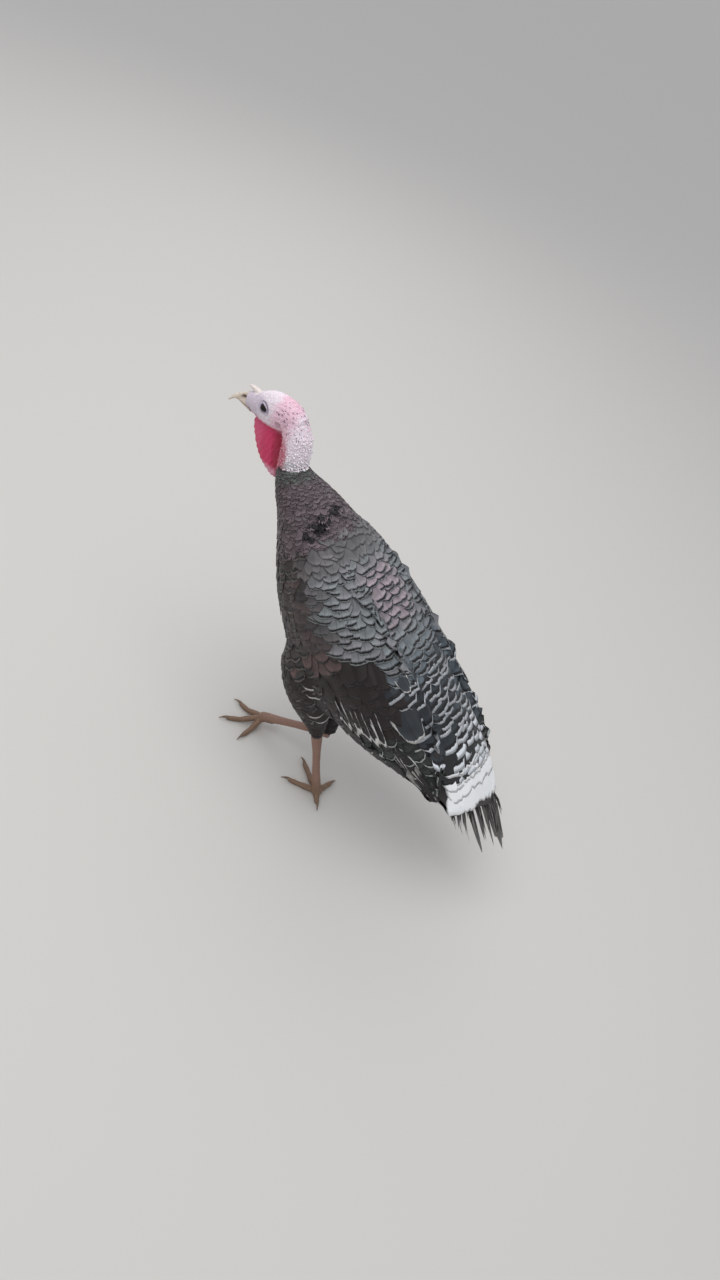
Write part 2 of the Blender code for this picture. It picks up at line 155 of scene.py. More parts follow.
sky = bpy.data.worlds.new("sky")
sky.use_nodes = True
sky.node_tree.nodes["Background"].inputs["Color"].default_value = (*srgb(236, 240, 247), 1)
sky.node_tree.nodes["Background"].inputs["Strength"].default_value = SKY_STRENGTH
bpy.context.scene.world = sky
for place, size, power in LAMPS:
    lamp = bpy.data.lights.new("lamp", "AREA")
    lamp.size = size
    lamp.energy = power
    hung = bpy.data.objects.new("lamp", lamp)
    hung.location = place
    hung.rotation_euler = (LAMP_AIM - Vector(place)).to_track_quat("-Z", "Y").to_euler()
    bpy.context.scene.collection.objects.link(hung)


# ------------------------------------------------------------------ skin
# One skin covers head, neck, trunk, wings and legs. It is bare and wrinkled on the head, the
# neck and the throat fold, scaled on shanks and toes, and lies under the plumage elsewhere,
# deeper by the depth of the coat. It is one closed surface, blended where the parts meet.
MID_X = -0.030
COAT_DEPTH = 0.0042
BODY_VOXEL, HEAD_VOXEL, LEG_VOXEL = 0.0040, 0.00094, 0.00118
FEATHERED = ("neck_ruff", "trunk", "tail_coverts", "wing_left", "wing_right", "thigh_left", "thigh_right")
BARE_TOP = ("head", "neck", "snood", "dewlap", "eye_left", "eye_right")
SIDES = (("left", 1), ("right", -1))
# The line through the middle of the body from the foot of the neck to the rim of the tail
# coverts: forward, height, swing to the left. Distances along it count from its second point.
AXIS_LINE = np.array((
    (0.2745, 0.4920, 0.0),
    (0.2700, 0.4720, 0.0), (0.2530, 0.4520, 0.0), (0.2200, 0.4300, 0.0), (0.1800, 0.4000, 0.0),
    (0.1320, 0.3640, 0.0), (0.0800, 0.3290, 0.0), (0.0250, 0.2950, 0.0), (-0.0350, 0.2630, 0.0),
    (-0.0930, 0.2380, -0.001), (-0.1440, 0.2160, 0.001), (-0.1820, 0.1950, 0.007), (-0.2100, 0.1750, 0.015),
))


def reach_along(line):
    """The distance of each point of a line from its first point."""
    return np.concatenate(([0.0], np.cumsum(np.linalg.norm(np.diff(line[:, :2], axis=0), axis=1))))


AXIS_REACH = reach_along(AXIS_LINE)
AXIS_REACH -= AXIS_REACH[1]


def unit(vector):
    return vector / np.linalg.norm(vector)


def at(forward, height, left):
    """A place on the bird from its distances forward, up and left."""
    return np.array((MID_X + left, -forward, height))


def body_views(points):
    """Forward, height and distance to the left of points."""
    return -points[:, 1], points[:, 2], points[:, 0] - MID_X


def select_only(*pieces):
    bpy.ops.object.select_all(action="DESELECT")
    for piece in pieces:
        piece.select_set(True)
    bpy.context.view_layer.objects.active = pieces[0]


def smooth_with(piece, finish):
    """Shade a piece smooth and give it its material."""
    select_only(piece)
    bpy.ops.object.shade_smooth()
    piece.data.materials.append(finish.material)


def new_piece(name, mesh):
    made = bpy.data.objects.new(name, mesh)
    bpy.context.scene.collection.objects.link(made)
    return made


def copy_of(name, *parts):
    """A new piece from the merged meshes of CAD nodes."""
    shape = bmesh.new()
    for part in parts:
        shape.from_mesh(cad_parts[part].data)
    bmesh.ops.remove_doubles(shape, verts=shape.verts, dist=0.00001)
    mesh = bpy.data.meshes.new(name)
    shape.to_mesh(mesh)
    shape.free()
    return new_piece(name, mesh)


def vectors_of(values, key):
    found = np.zeros(len(values) * 3, np.float32)
    values.foreach_get(key, found)
    return found.reshape(-1, 3).astype(float)


def places(piece):
    return vectors_of(piece.data.vertices, "co")


def normals(piece):
    return vectors_of(piece.data.vertex_normals, "vector")


def move_to(piece, points):
    piece.data.vertices.foreach_set("co", points.astype(np.float32).ravel())
    piece.data.update()


def relax(piece, rounds):
    """Smooth a mesh without shrinking it: each step in is followed by a longer one out."""
    ends = np.zeros(len(piece.data.edges) * 2, np.int32)
    piece.data.edges.foreach_get("vertices", ends)
    first, second = ends.reshape(-1, 2).T
    points = places(piece)
    count = len(points)
    links_at = np.bincount(first, minlength=count) + np.bincount(second, minlength=count)
    for step in (0.5, -0.52) * rounds:
        middle = np.stack([
            np.bincount(first, points[second, k], count) + np.bincount(second, points[first, k], count)
            for k in range(3)
        ], 1)
        points += step * (middle / links_at[:, None] - points)
    move_to(piece, points)


def remesh(piece, voxel, rounds):
    """Melt a piece into one even closed surface, and smooth it."""
    select_only(piece)
    piece.data.remesh_voxel_size = voxel
    piece.data.remesh_voxel_adaptivity = 0.0
    bpy.ops.object.voxel_remesh()
    relax(piece, rounds)


def tree_of(piece):
    shape = bmesh.new()
    shape.from_mesh(piece.data)
    tree = BVHTree.FromBMesh(shape)
    shape.free()
    return tree


def cast(tree, start, way):
    """Where a ray meets a surface, the normal there and how far off it is; nothing if it misses."""
    spot, out, _, far = tree.ray_cast(Vector(start), Vector(way))
    return (None, None, None) if spot is None else (np.array(spot), np.array(out), far)


def fill_map(mesh, name, corners):
    mesh.uv_layers.new(name=name).data.foreach_set("uv", corners.astype(np.float32).ravel())


def ease(start, end, value):
    """0 before start, 1 after end, smooth between."""
    t = np.clip((value - start) / (end - start), 0.0, 1.0)
    return t * t * (3.0 - 2.0 * t)


def bell(value, middle, width):
    """1 at the middle, falling off smoothly over the width."""
    return np.exp(-((value - middle) / width) ** 2)


def ripple(points, scale, seed=0.0):
    """A smooth, irregular value from -1 to 1 at each point."""
    total = np.zeros(len(points))
    for k, (a, b, c) in enumerate(((1.0, 0.6, -0.4), (-0.5, 1.1, 0.7), (0.8, -0.7, 1.2), (-1.2, -0.4, 0.9))):
        wave = (points[:, 0] * a + points[:, 1] * b + points[:, 2] * c) * scale * (1.0 + 0.37 * k)
        total += np.sin(wave + 1.7 * k + seed + 0.8 * np.sin(wave * 0.6 + 2.1 * k))
    return total / 4.0


# The coat's outer surface, as the plumage leaves it, and the skin below it
THIN_SHARE, RAY_START = 0.3, 0.0005
coat = copy_of("coat", "neck", *FEATHERED)
remesh(coat, BODY_VOXEL, 12)
coat_tree = tree_of(coat)
coat_points, coat_normals = places(coat), normals(coat)
thickness = np.ones(len(coat_points))
for k, (p, n) in enumerate(zip(coat_points, coat_normals)):
    far = cast(coat_tree, p - n * RAY_START, -n)[2]
    if far is not None:
        thickness[k] = far
depth = np.minimum(COAT_DEPTH, thickness * THIN_SHARE)
skin = new_piece("skin", coat.data.copy())
move_to(skin, coat_points - coat_normals * depth[:, None])

# The plumage lies over this surface: the coat's own, with its creases bridged
drape = new_piece("drape", coat.data.copy())
select_only(drape)
eased = drape.modifiers.new("eased", "SMOOTH")
eased.factor = 0.5
eased.iterations = 45
bpy.ops.object.modifier_apply(modifier="eased")
bridged = np.maximum(((places(drape) - coat_points) * coat_normals).sum(1), 0.0)
move_to(drape, coat_points + coat_normals * bridged[:, None])
relax(drape, 4)
drape_tree = tree_of(drape)
bpy.data.objects.remove(drape)

# Landmarks of the head: forward from the left foot, height, and size
EYE_FORWARD, EYE_HEIGHT, EYE_SIDE, EYE_RADIUS = 0.3335, 0.5330, 0.0125, 0.0062
LID_LENGTH, LID_HEIGHT = 0.0059, 0.0043
LID_TILT = math.radians(36)
LID_RIM, LID_LIFT, LID_TUCK = 0.0006, 0.0012, 0.0014
CREASE_PLACE, CREASE_WIDTH = 1.55, 0.13
EAR_FORWARD, EAR_HEIGHT = 0.3060, 0.5255
NECK_HEIGHTS = (0.4720, 0.4920, 0.5160, 0.5380)
NECK_FORWARDS = (0.2700, 0.2745, 0.2800, 0.2960)
SNOOD_LINE = ((0.3569, 0.5392), (0.3704, 0.5398))
OFF_MIDDLE = 0.006  # how far from the middle plane the marks of eye and ear begin


def eye_view(points, side):
    """Points seen along the axis of one eye: along the lids, across them, outward."""
    forward, height, left = body_views(points)
    ahead, over = forward - EYE_FORWARD, height - EYE_HEIGHT
    along = ahead * math.cos(LID_TILT) + over * math.sin(LID_TILT)
    across = over * math.cos(LID_TILT) - ahead * math.sin(LID_TILT)
    return along, across, left * side - EYE_SIDE


def throat_share(points):
    """1 on the throat fold, 0 on the neck and the head."""
    forward, height, _ = body_views(points)
    neck_front = np.interp(height, NECK_HEIGHTS, NECK_FORWARDS) + 0.015
    return ease(0.0, 0.006, forward - neck_front) * (1.0 - ease(0.505, 0.517, height))


bare = copy_of("bare", *BARE_TOP)
remesh(bare, HEAD_VOXEL, 14)

# A finer mesh round the eyes, then the lids: the skin rises over the ball and dips at the
# almond-shaped opening, with a thicker rim along it
FINE_AROUND = 0.0108
select_only(bare)
bpy.ops.object.mode_set(mode="EDIT")
shape = bmesh.from_edit_mesh(bare.data)
for face in shape.faces:
    middle = face.calc_center_median()
    face.select_set(any(
        (middle - Vector((MID_X + side * EYE_SIDE, -EYE_FORWARD, EYE_HEIGHT))).length < FINE_AROUND
        and (middle.x - MID_X) * side > EYE_SIDE - 0.001
        for side in (1, -1)
    ))
bmesh.update_edit_mesh(bare.data)
bpy.ops.mesh.subdivide(number_cuts=2, smoothness=0.0)
bpy.ops.object.mode_set(mode="OBJECT")
points = places(bare)
for side in (1, -1):
    along, across, outward = eye_view(points, side)
    opening = np.hypot(along / LID_LENGTH, across / LID_HEIGHT)
    reach = np.hypot(np.hypot(along, across), outward)
    upper = ease(0.0, 0.5, across / (LID_HEIGHT * opening))
    crease = -(0.0003 + 0.0006 * upper) * bell(opening, CREASE_PLACE, CREASE_WIDTH)
    radius = EYE_RADIUS + LID_RIM + LID_RIM * bell(opening, 1.16, 0.18) + crease
    radius = np.where(opening < 1.0, EYE_RADIUS - LID_TUCK * ease(1.0, 0.86, opening), radius)
    edge = EYE_RADIUS + LID_LIFT * ease(0.8, 1.0, opening)
    radius = np.where(opening < 1.0, np.minimum(radius, edge), radius)
    share = (1.0 - ease(0.0068, 0.0098, np.hypot(along, across))) * (outward > 0.0005)
    centre = at(EYE_FORWARD, EYE_HEIGHT, side * EYE_SIDE)
    target = centre + (points - centre) * (radius / np.maximum(reach, 1e-6))[:, None]
    points += (target - points) * share[:, None]
move_to(bare, points)

# Folds: round the eyes and the ears, level wrinkles on the neck, creases down the throat fold
points, out = places(bare), normals(bare)
forward, height, left = body_views(points)
throat = throat_share(points)
far_from_eye = ease(0.0092, 0.0130, np.hypot(forward - EYE_FORWARD, height - EYE_HEIGHT))
behind_eye = 1.0 - ease(0.330, 0.345, forward)
folds = 0.00035 * ripple(points, 900.0) + 0.00025 * ripple(points, 1900.0, 4.0)
level = 0.00040 * np.sin(height * 1500.0 + 3.0 * ripple(points, 160.0, 2.0))
level *= 1.0 - ease(0.505, 0.525, height)
creases = 0.00045 * np.sin(forward * 900.0 + height * 260.0 + 2.5 * ripple(points, 120.0, 5.0))
ear = np.hypot(forward - EAR_FORWARD, height - EAR_HEIGHT)
ear_dent = -0.0011 * bell(ear, 0.0, 0.0020) + 0.0006 * bell(ear, 0.0042, 0.0011)
fold_line = forward - (0.3035 + (height - 0.485) * 0.30)
groove = -0.0012 * bell(fold_line, 0.0, 0.0018)
groove *= ease(0.515, 0.500, height) * ease(0.452, 0.462, height)
lift = (folds * (0.35 + 0.65 * behind_eye) + level) * (1.0 - throat) * far_from_eye
lift += (creases + 0.0002 * ripple(points, 2400.0)) * throat + groove * throat
lift += ear_dent * (np.abs(left) > OFF_MIDDLE)
move_to(bare, points + out * lift[:, None])

legs = copy_of("legs", "shank_left", "shank_right", "foot_left", "foot_right")
remesh(legs, LEG_VOXEL, 8)

# Scutes: plates across the front of each shank and along the top of each toe
HOCK = {"left": (0.0480, 0.1120, 0.0270), "right": (0.0395, 0.0845, -0.0140)}
SOLE = {"left": (0.0000, 0.0075, 0.0300), "right": (0.1440, 0.0195, -0.0130)}
TOE_TURNS = {"left": (-104.0, -36.0, 17.0, 128.0), "right": (82.0, 38.0, -8.0, 218.0)}
SHANK_SCUTE, SHANK_PLATE, SHANK_RADIUS = 0.0056, 0.0005, 0.012
TOE_SCUTE, TOE_PLATE, TOE_RADIUS = 0.0036, 0.0004, 0.0065
points, out = places(legs), normals(legs)
scute = np.zeros(len(points))
for side in ("left", "right"):
    hock, sole = at(*HOCK[side]), at(*SOLE[side])
    shank = np.linalg.norm(sole - hock)
    line = (sole - hock) / shank
    front = np.cross(line, (1.0, 0.0, 0.0))
    front *= -np.sign(front[1])
    along = (points - hock) @ line
    near = np.linalg.norm(points - hock - along[:, None] * line, axis=1) < SHANK_RADIUS
    span = (along > 0.004) & (along < shank - 0.008)
    plate = SHANK_PLATE * ((along / SHANK_SCUTE) % 1.0 - 0.5) * ease(0.1, 0.6, out @ front)
    scute = np.where(near & span, plate, scute)
    for turn in TOE_TURNS[side]:
        heading = np.array((math.sin(math.radians(turn)), -math.cos(math.radians(turn)), 0.0))
        flat = points - sole
        along = flat @ heading
        aside = np.hypot(*(flat - along[:, None] * heading)[:, :2].T)
        on_toe = (along > 0.007) & (aside < TOE_RADIUS) & (points[:, 2] < sole[2] + 0.004)
        plate = TOE_PLATE * (0.5 - (along / TOE_SCUTE) % 1.0) * ease(0.2, 0.7, out[:, 2])
        scute = np.where(on_toe, plate, scute)
scute += 0.00018 * ripple(points, 2600.0) * (points[:, 2] > 0.0012)
scute[points[:, 2] < 0.0010] = 0.0
move_to(legs, points + out * scute[:, None])

for addition in (bare, legs):
    select_only(skin)
    joined = skin.modifiers.new("joined", "BOOLEAN")
    joined.operation = "UNION"
    joined.solver = "MANIFOLD"
    joined.object = addition
    bpy.ops.object.modifier_apply(modifier="joined")
    bpy.data.objects.remove(addition)

# Colours of the skin, each given a share of the surface by its place
BLUSH, LILAC, CROWN_WHITE = palette((230, 194, 208), (194, 184, 198), (234, 225, 231))
LID_BLUE, EAR_DARK, NAPE_WHITE = palette((112, 106, 134), (140, 106, 116), (232, 222, 230))
SNOOD_CREAM, LID_CREASE_SHADE, NAPE_GREY = palette((232, 223, 216), (82, 74, 92), (196, 196, 200))
NECK_RED, BRIGHT_RED, CRIMSON = palette((186, 84, 108), (216, 92, 128), (206, 52, 98))
DEEP_RED, TIP_PINK, SHANK_PINK = palette((158, 22, 60), (222, 156, 176), (146, 114, 98))
TOE_TAN, SOLE_DARK = palette((128, 102, 80), (88, 62, 50))
UNDER_PLUMAGE, UNDER_BAND = palette((46, 40, 40), (64, 60, 60))


def layered(count, base, *layers):
    """Colours of points: a base, then each further colour by its share."""
    found = np.tile(base, (count, 1))
    for colour, share in layers:
        found = found + (colour - found) * np.clip(share, 0.0, 1.0)[:, None]
    return found


def store_colour(piece, name, colours):
    layer = piece.data.attributes.new(name, "FLOAT_COLOR", "POINT")
    full = np.ones((len(colours), 4), np.float32)
    full[:, :colours.shape[1]] = colours
    layer.data.foreach_set("color", full.ravel())


def skin_colours(points):
    forward, height, left = body_views(points)
    count, off_middle = len(points), np.abs(left) > OFF_MIDDLE
    along, across, _ = eye_view(points, 1)
    opening = np.maximum(np.hypot(along / LID_LENGTH, across / LID_HEIGHT), 0.01)
    upper = ease(-0.1, 0.6, across / (LID_HEIGHT * opening))
    ear = np.hypot(forward - EAR_FORWARD, height - EAR_HEIGHT)
    stain = 0.004 * ripple(points, 420.0, 1.0)
    neck_line = np.interp(height, NECK_HEIGHTS, NECK_FORWARDS)
    from_snood = forward - np.clip(forward, SNOOD_LINE[0][0], SNOOD_LINE[1][0])
    snood = np.hypot(np.hypot(from_snood, height - SNOOD_LINE[0][1]), left)
    found = layered(
        count, BLUSH,
        (CROWN_WHITE, ease(0.310, 0.326, forward + stain)),
        (LILAC, 0.7 * ease(0.331, 0.344, forward) * ease(0.548, 0.538, height)),
        (NAPE_WHITE, ease(0.292, 0.276, forward + stain) * ease(0.560, 0.548, height)),
        (NAPE_GREY, ease(0.500, 0.484, height + stain)),
        (NECK_RED, 0.9 * ease(-0.004, 0.007, forward - neck_line + stain) * ease(0.514, 0.500, height)),
        (EAR_DARK, 0.8 * bell(ear, 0.0034, 0.0009) * off_middle),
        (EAR_DARK, bell(ear, 0.0, 0.0016) * off_middle),
        (LILAC, 0.8 * ease(2.3, 1.5, opening) * off_middle),
        (LID_BLUE, 0.7 * ease(1.30, 1.06, opening) * off_middle),
        # Painted shade in the upper lid crease, over and behind the eye.
        (LID_CREASE_SHADE, upper * bell(opening, CREASE_PLACE, CREASE_WIDTH) * off_middle),
        (SNOOD_CREAM, ease(0.0085, 0.0060, snood) * ease(0.5350, 0.5375, height)),
    )
    fold = layered(
        count, CRIMSON,
        (BRIGHT_RED, 0.8 * ease(0.316, 0.334, forward + 0.10 * (0.49 - height))),
        (DEEP_RED, 0.9 * ease(0.309, 0.299, forward + 0.25 * (0.485 - height))),
        (TIP_PINK, ease(0.458, 0.448, height)),
    )
    found += (fold - found) * throat_share(points)[:, None]
    lower = layered(
        count, SHANK_PINK,
        (TOE_TAN, ease(0.040, 0.014, height + stain)), (SOLE_DARK, ease(0.0024, 0.0008, height)),
    )
    found += (lower - found) * ease(0.122, 0.112, height)[:, None]
    return found


AXIS_STEPS = 120
points = places(skin)
near_coat = np.array([coat_tree.find_nearest(Vector(p))[3] for p in points])
forward, height, _ = body_views(points)
reaches = np.linspace(AXIS_REACH[0], AXIS_REACH[-1], AXIS_STEPS)
middle_line = np.stack([np.interp(reaches, AXIS_REACH, AXIS_LINE[:, k]) for k in (0, 1)])
nearest = np.hypot(forward[:, None] - middle_line[0], height[:, None] - middle_line[1]).argmin(1)
in_front = ease(0.008, 0.020, forward - middle_line[0][nearest])
feathered = ease(-0.008, -0.002, reaches[nearest] - 0.020 * in_front) * (near_coat < 0.006)
feathered *= ease(0.098, 0.106, height)
feathered *= 1.0 - throat_share(points)
colours = skin_colours(points)
under = layered(len(points), UNDER_PLUMAGE, (UNDER_BAND, ease(-0.158, -0.172, forward)))
colours += (under - colours) * feathered[:, None]
store_colour(skin, "tint", colours)

bare_finish = Finish("bare_skin")
where = bare_finish.add("TexCoord", output="Object")
grain = bare_finish.noise(where, 620.0, Detail=4.0)
pebbles = bare_finish.add("TexVoronoi", {"Vector": where, "Scale": 520.0}, "Distance")
tone = bare_finish.ramp(grain, (0.34, (0.80, 0.73, 0.75)), (0.62, (1.08, 1.06, 1.06)))
bare_finish.shade({
    "Base Color": bare_finish.lay(bare_finish.attribute("tint"), tone, 1.0, "MULTIPLY"),
    "Normal": bare_finish.bump(pebbles, 0.55, 0.0006),
    "Subsurface Weight": 0.06, "Subsurface Radius": (0.004, 0.0015, 0.001),
})
skin.data.materials.clear()
smooth_with(skin, bare_finish)
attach(skin, "root")
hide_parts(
    "head", "neck", "snood", "dewlap",
    "shank_left", "shank_right", "foot_left", "foot_right", *FEATHERED,
)
print("skin triangles", sum(len(p.vertices) - 2 for p in skin.data.polygons))


# ------------------------------------------------------------------ eyes
# Each eye is a dark glassy ball with a brown-black iris round the pupil. It is set in the
# skull behind the lids, which hold it on all sides.
IRIS_RADIUS, PUPIL_RADIUS = 0.0042, 0.0023
RING_RADIUS = IRIS_RADIUS * 1.3
PUPIL_EDGE = PUPIL_RADIUS / RING_RADIUS
eye_finish = Finish("dark_eye", 0.06)
from_eye = eye_finish.add("Mapping", {
    "Vector": eye_finish.add("TexCoord", output="Object"),
    "Location": (0.0, EYE_FORWARD, -EYE_HEIGHT), "Scale": (0.0, 1.0, 1.0),
})
reach = eye_finish.add("VectorMath", {0: from_eye}, "Value", operation="LENGTH")
ring = eye_finish.add("MapRange", {"Value": reach, "From Min": 0.0, "From Max": RING_RADIUS}, "Result")
eye_finish.shade({
    "Base Color": eye_finish.ramp(
        ring, (PUPIL_EDGE, (0.002, 0.002, 0.003)), (1.0, (0.012, 0.010, 0.012)),
        (PUPIL_EDGE + 0.05, srgb(36, 24, 20)), (0.74, srgb(28, 19, 18)),
    ),
    "Specular IOR Level": 0.22, "Coat Weight": 0.12, "Coat Roughness": 0.03,
})
for name, side in SIDES:
    bpy.ops.object.select_all(action="DESELECT")
    bpy.ops.mesh.primitive_uv_sphere_add(
        segments=40, ring_count=24, radius=EYE_RADIUS - 0.0001,
        location=at(EYE_FORWARD, EYE_HEIGHT, side * EYE_SIDE), rotation=(0.0, math.pi / 2, 0.0),
    )
    ball = bpy.context.object
    ball.name = f"eyeball_{name}"
    bpy.ops.object.transform_apply(location=True, rotation=True, scale=True)
    smooth_with(ball, eye_finish)
    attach(ball, "root")
    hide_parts(f"eye_{name}")


# ------------------------------------------------------------------ bill
# Two horn sheaths over the jaws, cream with a brown patch at the nostrils, darkest in each
# nostril's dent as painted shade of the opening. The upper one hooks over the lower one, and
# both grow out of the skin at the root.
BILL_VOXEL = 0.00042
NOSTRIL_FORWARD, NOSTRIL_HEIGHT = 0.3690, 0.5240
NOSTRIL_LENGTH, NOSTRIL_WIDTH, NOSTRIL_SLOPE = 0.0026, 0.0012, 0.5
EDGE_FORWARDS = (0.354, 0.3725, 0.3805, 0.3865, 0.3915)
EDGE_HEIGHTS = (0.5152, 0.5140, 0.5120, 0.5076, 0.5008)
HORN_CREAM, HORN_ROOT, HORN_TIP = palette((218, 205, 192), (200, 184, 182), (230, 220, 208))
NOSTRIL_BROWN_AND_SHADE, BILL_EDGE = palette((84, 58, 50), (160, 138, 118))
horn_finish = Finish("bill_horn", 0.38)
stretch = horn_finish.add(
    "Mapping", {"Vector": horn_finish.add("TexCoord", output="Object"), "Scale": (1.0, 0.35, 1.0)})
growth = horn_finish.noise(stretch, 260.0, Detail=5.0)
tone = horn_finish.ramp(growth, (0.35, (0.72, 0.66, 0.60)), (0.60, (1.05, 1.04, 1.02)))
horn_finish.shade({
    "Base Color": horn_finish.lay(horn_finish.attribute("tint"), tone, 1.0, "MULTIPLY"),
    "Normal": horn_finish.bump(growth, 0.25, 0.0004),
})
for node_name in ("bill_upper", "bill_lower"):
    sheath = copy_of("horn_" + node_name, node_name)
    remesh(sheath, BILL_VOXEL, 10)
    points, out = places(sheath), normals(sheath)
    forward, height, _ = body_views(points)
    ahead, over = forward - NOSTRIL_FORWARD, height - NOSTRIL_HEIGHT
    nostril = np.hypot(ahead / NOSTRIL_LENGTH, (over + NOSTRIL_SLOPE * ahead) / NOSTRIL_WIDTH)
    dent = -0.0009 * bell(nostril, 0.0, 1.0) + 0.0003 * bell(nostril, 1.7, 0.5)
    move_to(sheath, points + out * (dent + 0.00006 * ripple(points, 2200.0))[:, None])
    from_edge = height - np.interp(forward, EDGE_FORWARDS, EDGE_HEIGHTS)
    store_colour(sheath, "tint", layered(
        len(points), HORN_CREAM,
        (HORN_ROOT, ease(0.3620, 0.3570, forward)), (HORN_TIP, ease(0.3800, 0.3880, forward)),
        (BILL_EDGE, 0.6 * bell(from_edge, 0.0, 0.0011)),
        # Half-strength brown round each nostril, full in its dent as painted shade of the opening.
        (NOSTRIL_BROWN_AND_SHADE, 0.55 * np.exp(-(nostril / 2.6) ** 4) + bell(nostril, 0.0, 1.0)),
    ))
    smooth_with(sheath, horn_finish)
    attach(sheath, "root")
    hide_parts(node_name)


# ------------------------------------------------------------------ claws
# A short curved nail of dark horn on each toe, paler towards its tip, rooted in the last
# joint. The tips rest on the floor.
CLAW_VOXEL = 0.00035
claw_finish = Finish("claw_horn", 0.4)
streak = claw_finish.noise(claw_finish.add("TexCoord", output="Object"), 420.0)
claw_finish.shade({
    "Base Color": claw_finish.ramp(streak, (0.35, srgb(74, 56, 46)), (0.68, srgb(148, 122, 100))),
})
for name in [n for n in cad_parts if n.startswith("claw_")]:
    nail = copy_of("nail_" + name[5:], name)
    remesh(nail, CLAW_VOXEL, 4)
    smooth_with(nail, claw_finish)
    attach(nail, "root")
    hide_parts(name)


# ------------------------------------------------------------------ feather finish
# Every vane takes its colours from its own marks: a ground tint, a dark bar before the tip, a
# pale fringe along the tip, and a border down both sides or, where its width is stated below
# nought, down the left one. The ground is painted darker towards the root, as painted shade
# under the feather above, and lighter just before the bar, as a painted sheen. The barbs run
# slanting from the shaft.
vane_finish = Finish("plumage", 0.46)
calc, step = vane_finish.calculate, vane_finish.step
mark = vane_finish.add("SeparateColor", {"Color": vane_finish.attribute("marks")}).node.outputs
vane = vane_finish.add("SeparateXYZ", {"Vector": vane_finish.add("UVMap", uv_map="Vane")}).node.outputs
where = vane_finish.add("TexCoord", output="Object")
wear = vane_finish.noise(where, 420.0, Detail=3.0)
shade = vane_finish.noise(where, 55.0)
across = calc("ABSOLUTE", calc("MULTIPLY_ADD", vane["X"], 2.0, -1.0))
leftward = calc("MULTIPLY_ADD", vane["X"], -2.0, 1.0)
ragged = calc("MULTIPLY_ADD", wear, 0.10, -0.05)
tipward = calc("ADD", vane["Y"], ragged)
one_sided = calc("LESS_THAN", mark["Blue"], 0.0)
border_width = calc("ABSOLUTE", mark["Blue"])
sideward = calc("ADD", calc("MULTIPLY", across, calc("SUBTRACT", 1.0, one_sided)), ragged)
sideward = calc("ADD", sideward, calc("MULTIPLY", leftward, one_sided))
fringe_start = calc("SUBTRACT", 1.0, mark["Red"])
fringe = step(tipward, calc("SUBTRACT", fringe_start, 0.03), fringe_start)
bar_start = calc("SUBTRACT", fringe_start, mark["Green"])
bar = step(tipward, calc("SUBTRACT", bar_start, 0.07), bar_start)
# Painted shade and sheen: 0 towards the root, 1 just before the bar.
painted_shade_and_sheen = step(tipward, calc("SUBTRACT", bar_start, 0.24), bar_start)
border_start = calc("SUBTRACT", 1.0, border_width)
border = step(sideward, calc("SUBTRACT", border_start, 0.06), border_start)
border = calc("MULTIPLY", border, calc("GREATER_THAN", border_width, 0.001))
barbs = calc("SINE", calc("MULTIPLY_ADD", vane["Y"], 330.0, calc("MULTIPLY", across, -120.0)))
streak = calc("MULTIPLY_ADD", barbs, 0.07, 0.96)
# Random mottle, then the painted shade towards the root and the painted sheen before the bar.
mottle_and_painted_light = calc("MULTIPLY_ADD", shade, 0.9, 0.55)
mottle_and_painted_light = calc("MULTIPLY", mottle_and_painted_light, calc("MULTIPLY_ADD", painted_shade_and_sheen, 0.45, 0.80))
dark = (*srgb(18, 16, 18), 1.0)
colour = vane_finish.scale(vane_finish.attribute("tint"), calc("MULTIPLY", streak, mottle_and_painted_light))
colour = vane_finish.lay(colour, dark, calc("MULTIPLY", bar, calc("GREATER_THAN", mark["Green"], 0.001)))
colour = vane_finish.lay(colour, dark, calc("MULTIPLY", step(across, 0.06, 0.03), 0.30))
pale = vane_finish.scale(vane_finish.attribute("edge"), streak)
colour = vane_finish.lay(vane_finish.lay(colour, pale, border), pale, fringe)
vane_finish.shade({
    "Base Color": colour, "Normal": vane_finish.bump(barbs, 0.35, 0.0004),
    "Specular IOR Level": 0.36, "Sheen Weight": 0.06, "Sheen Roughness": 0.4,
})


# ------------------------------------------------------------------ plumage of neck and trunk
# Contour feathers: thin curved vanes on a shaft, rooted in the skin in staggered rows and
# lying back over one another like tiles. Each is a closed thin blade of its own.
VANE_THICKNESS = 0.00030
PATCH_MARGIN, PATCH_SIZE = 0.06, 0.88
OVERLAP, AXIS_SPAN, TOUCHING = 0.62, 0.03, 0.003
RAY_FROM = 0.30


def axis_frame(reach):
    """Centre, direction to the tail, up and left of the body at a distance from the neck's foot."""
    def centre_at(distance):
        return at(*(np.interp(distance, AXIS_REACH, AXIS_LINE[:, k]) for k in (0, 1, 2)))
    tailward, headward = min(reach + AXIS_SPAN, AXIS_REACH[-1]), max(reach - AXIS_SPAN, AXIS_REACH[0])
    line = unit(centre_at(tailward) - centre_at(headward))
    left_way = unit(np.cross(line, (0.0, 0.0, 1.0)))
    left_way *= np.sign(left_way[0])
    over = np.cross(left_way, line)
    over *= np.sign(over[2])
    return centre_at(reach), line, over, left_way


def surface_at(reach, angle):
    """A place on the plumage, its normal, the way to the tail and the way down the side."""
    reach = min(max(reach, AXIS_REACH[0]), AXIS_REACH[-1])
    centre, line, over, left_way = axis_frame(reach)
    turn = math.radians(angle)
    ray = over * math.cos(turn) + left_way * math.sin(turn)
    spot, out, _ = cast(drape_tree, centre + ray * RAY_FROM, -ray)
    if spot is None:
        return None
    down = (left_way * math.cos(turn) - over * math.sin(turn)) * (1 if math.sin(turn) >= 0 else -1)
    return spot, out, line, down


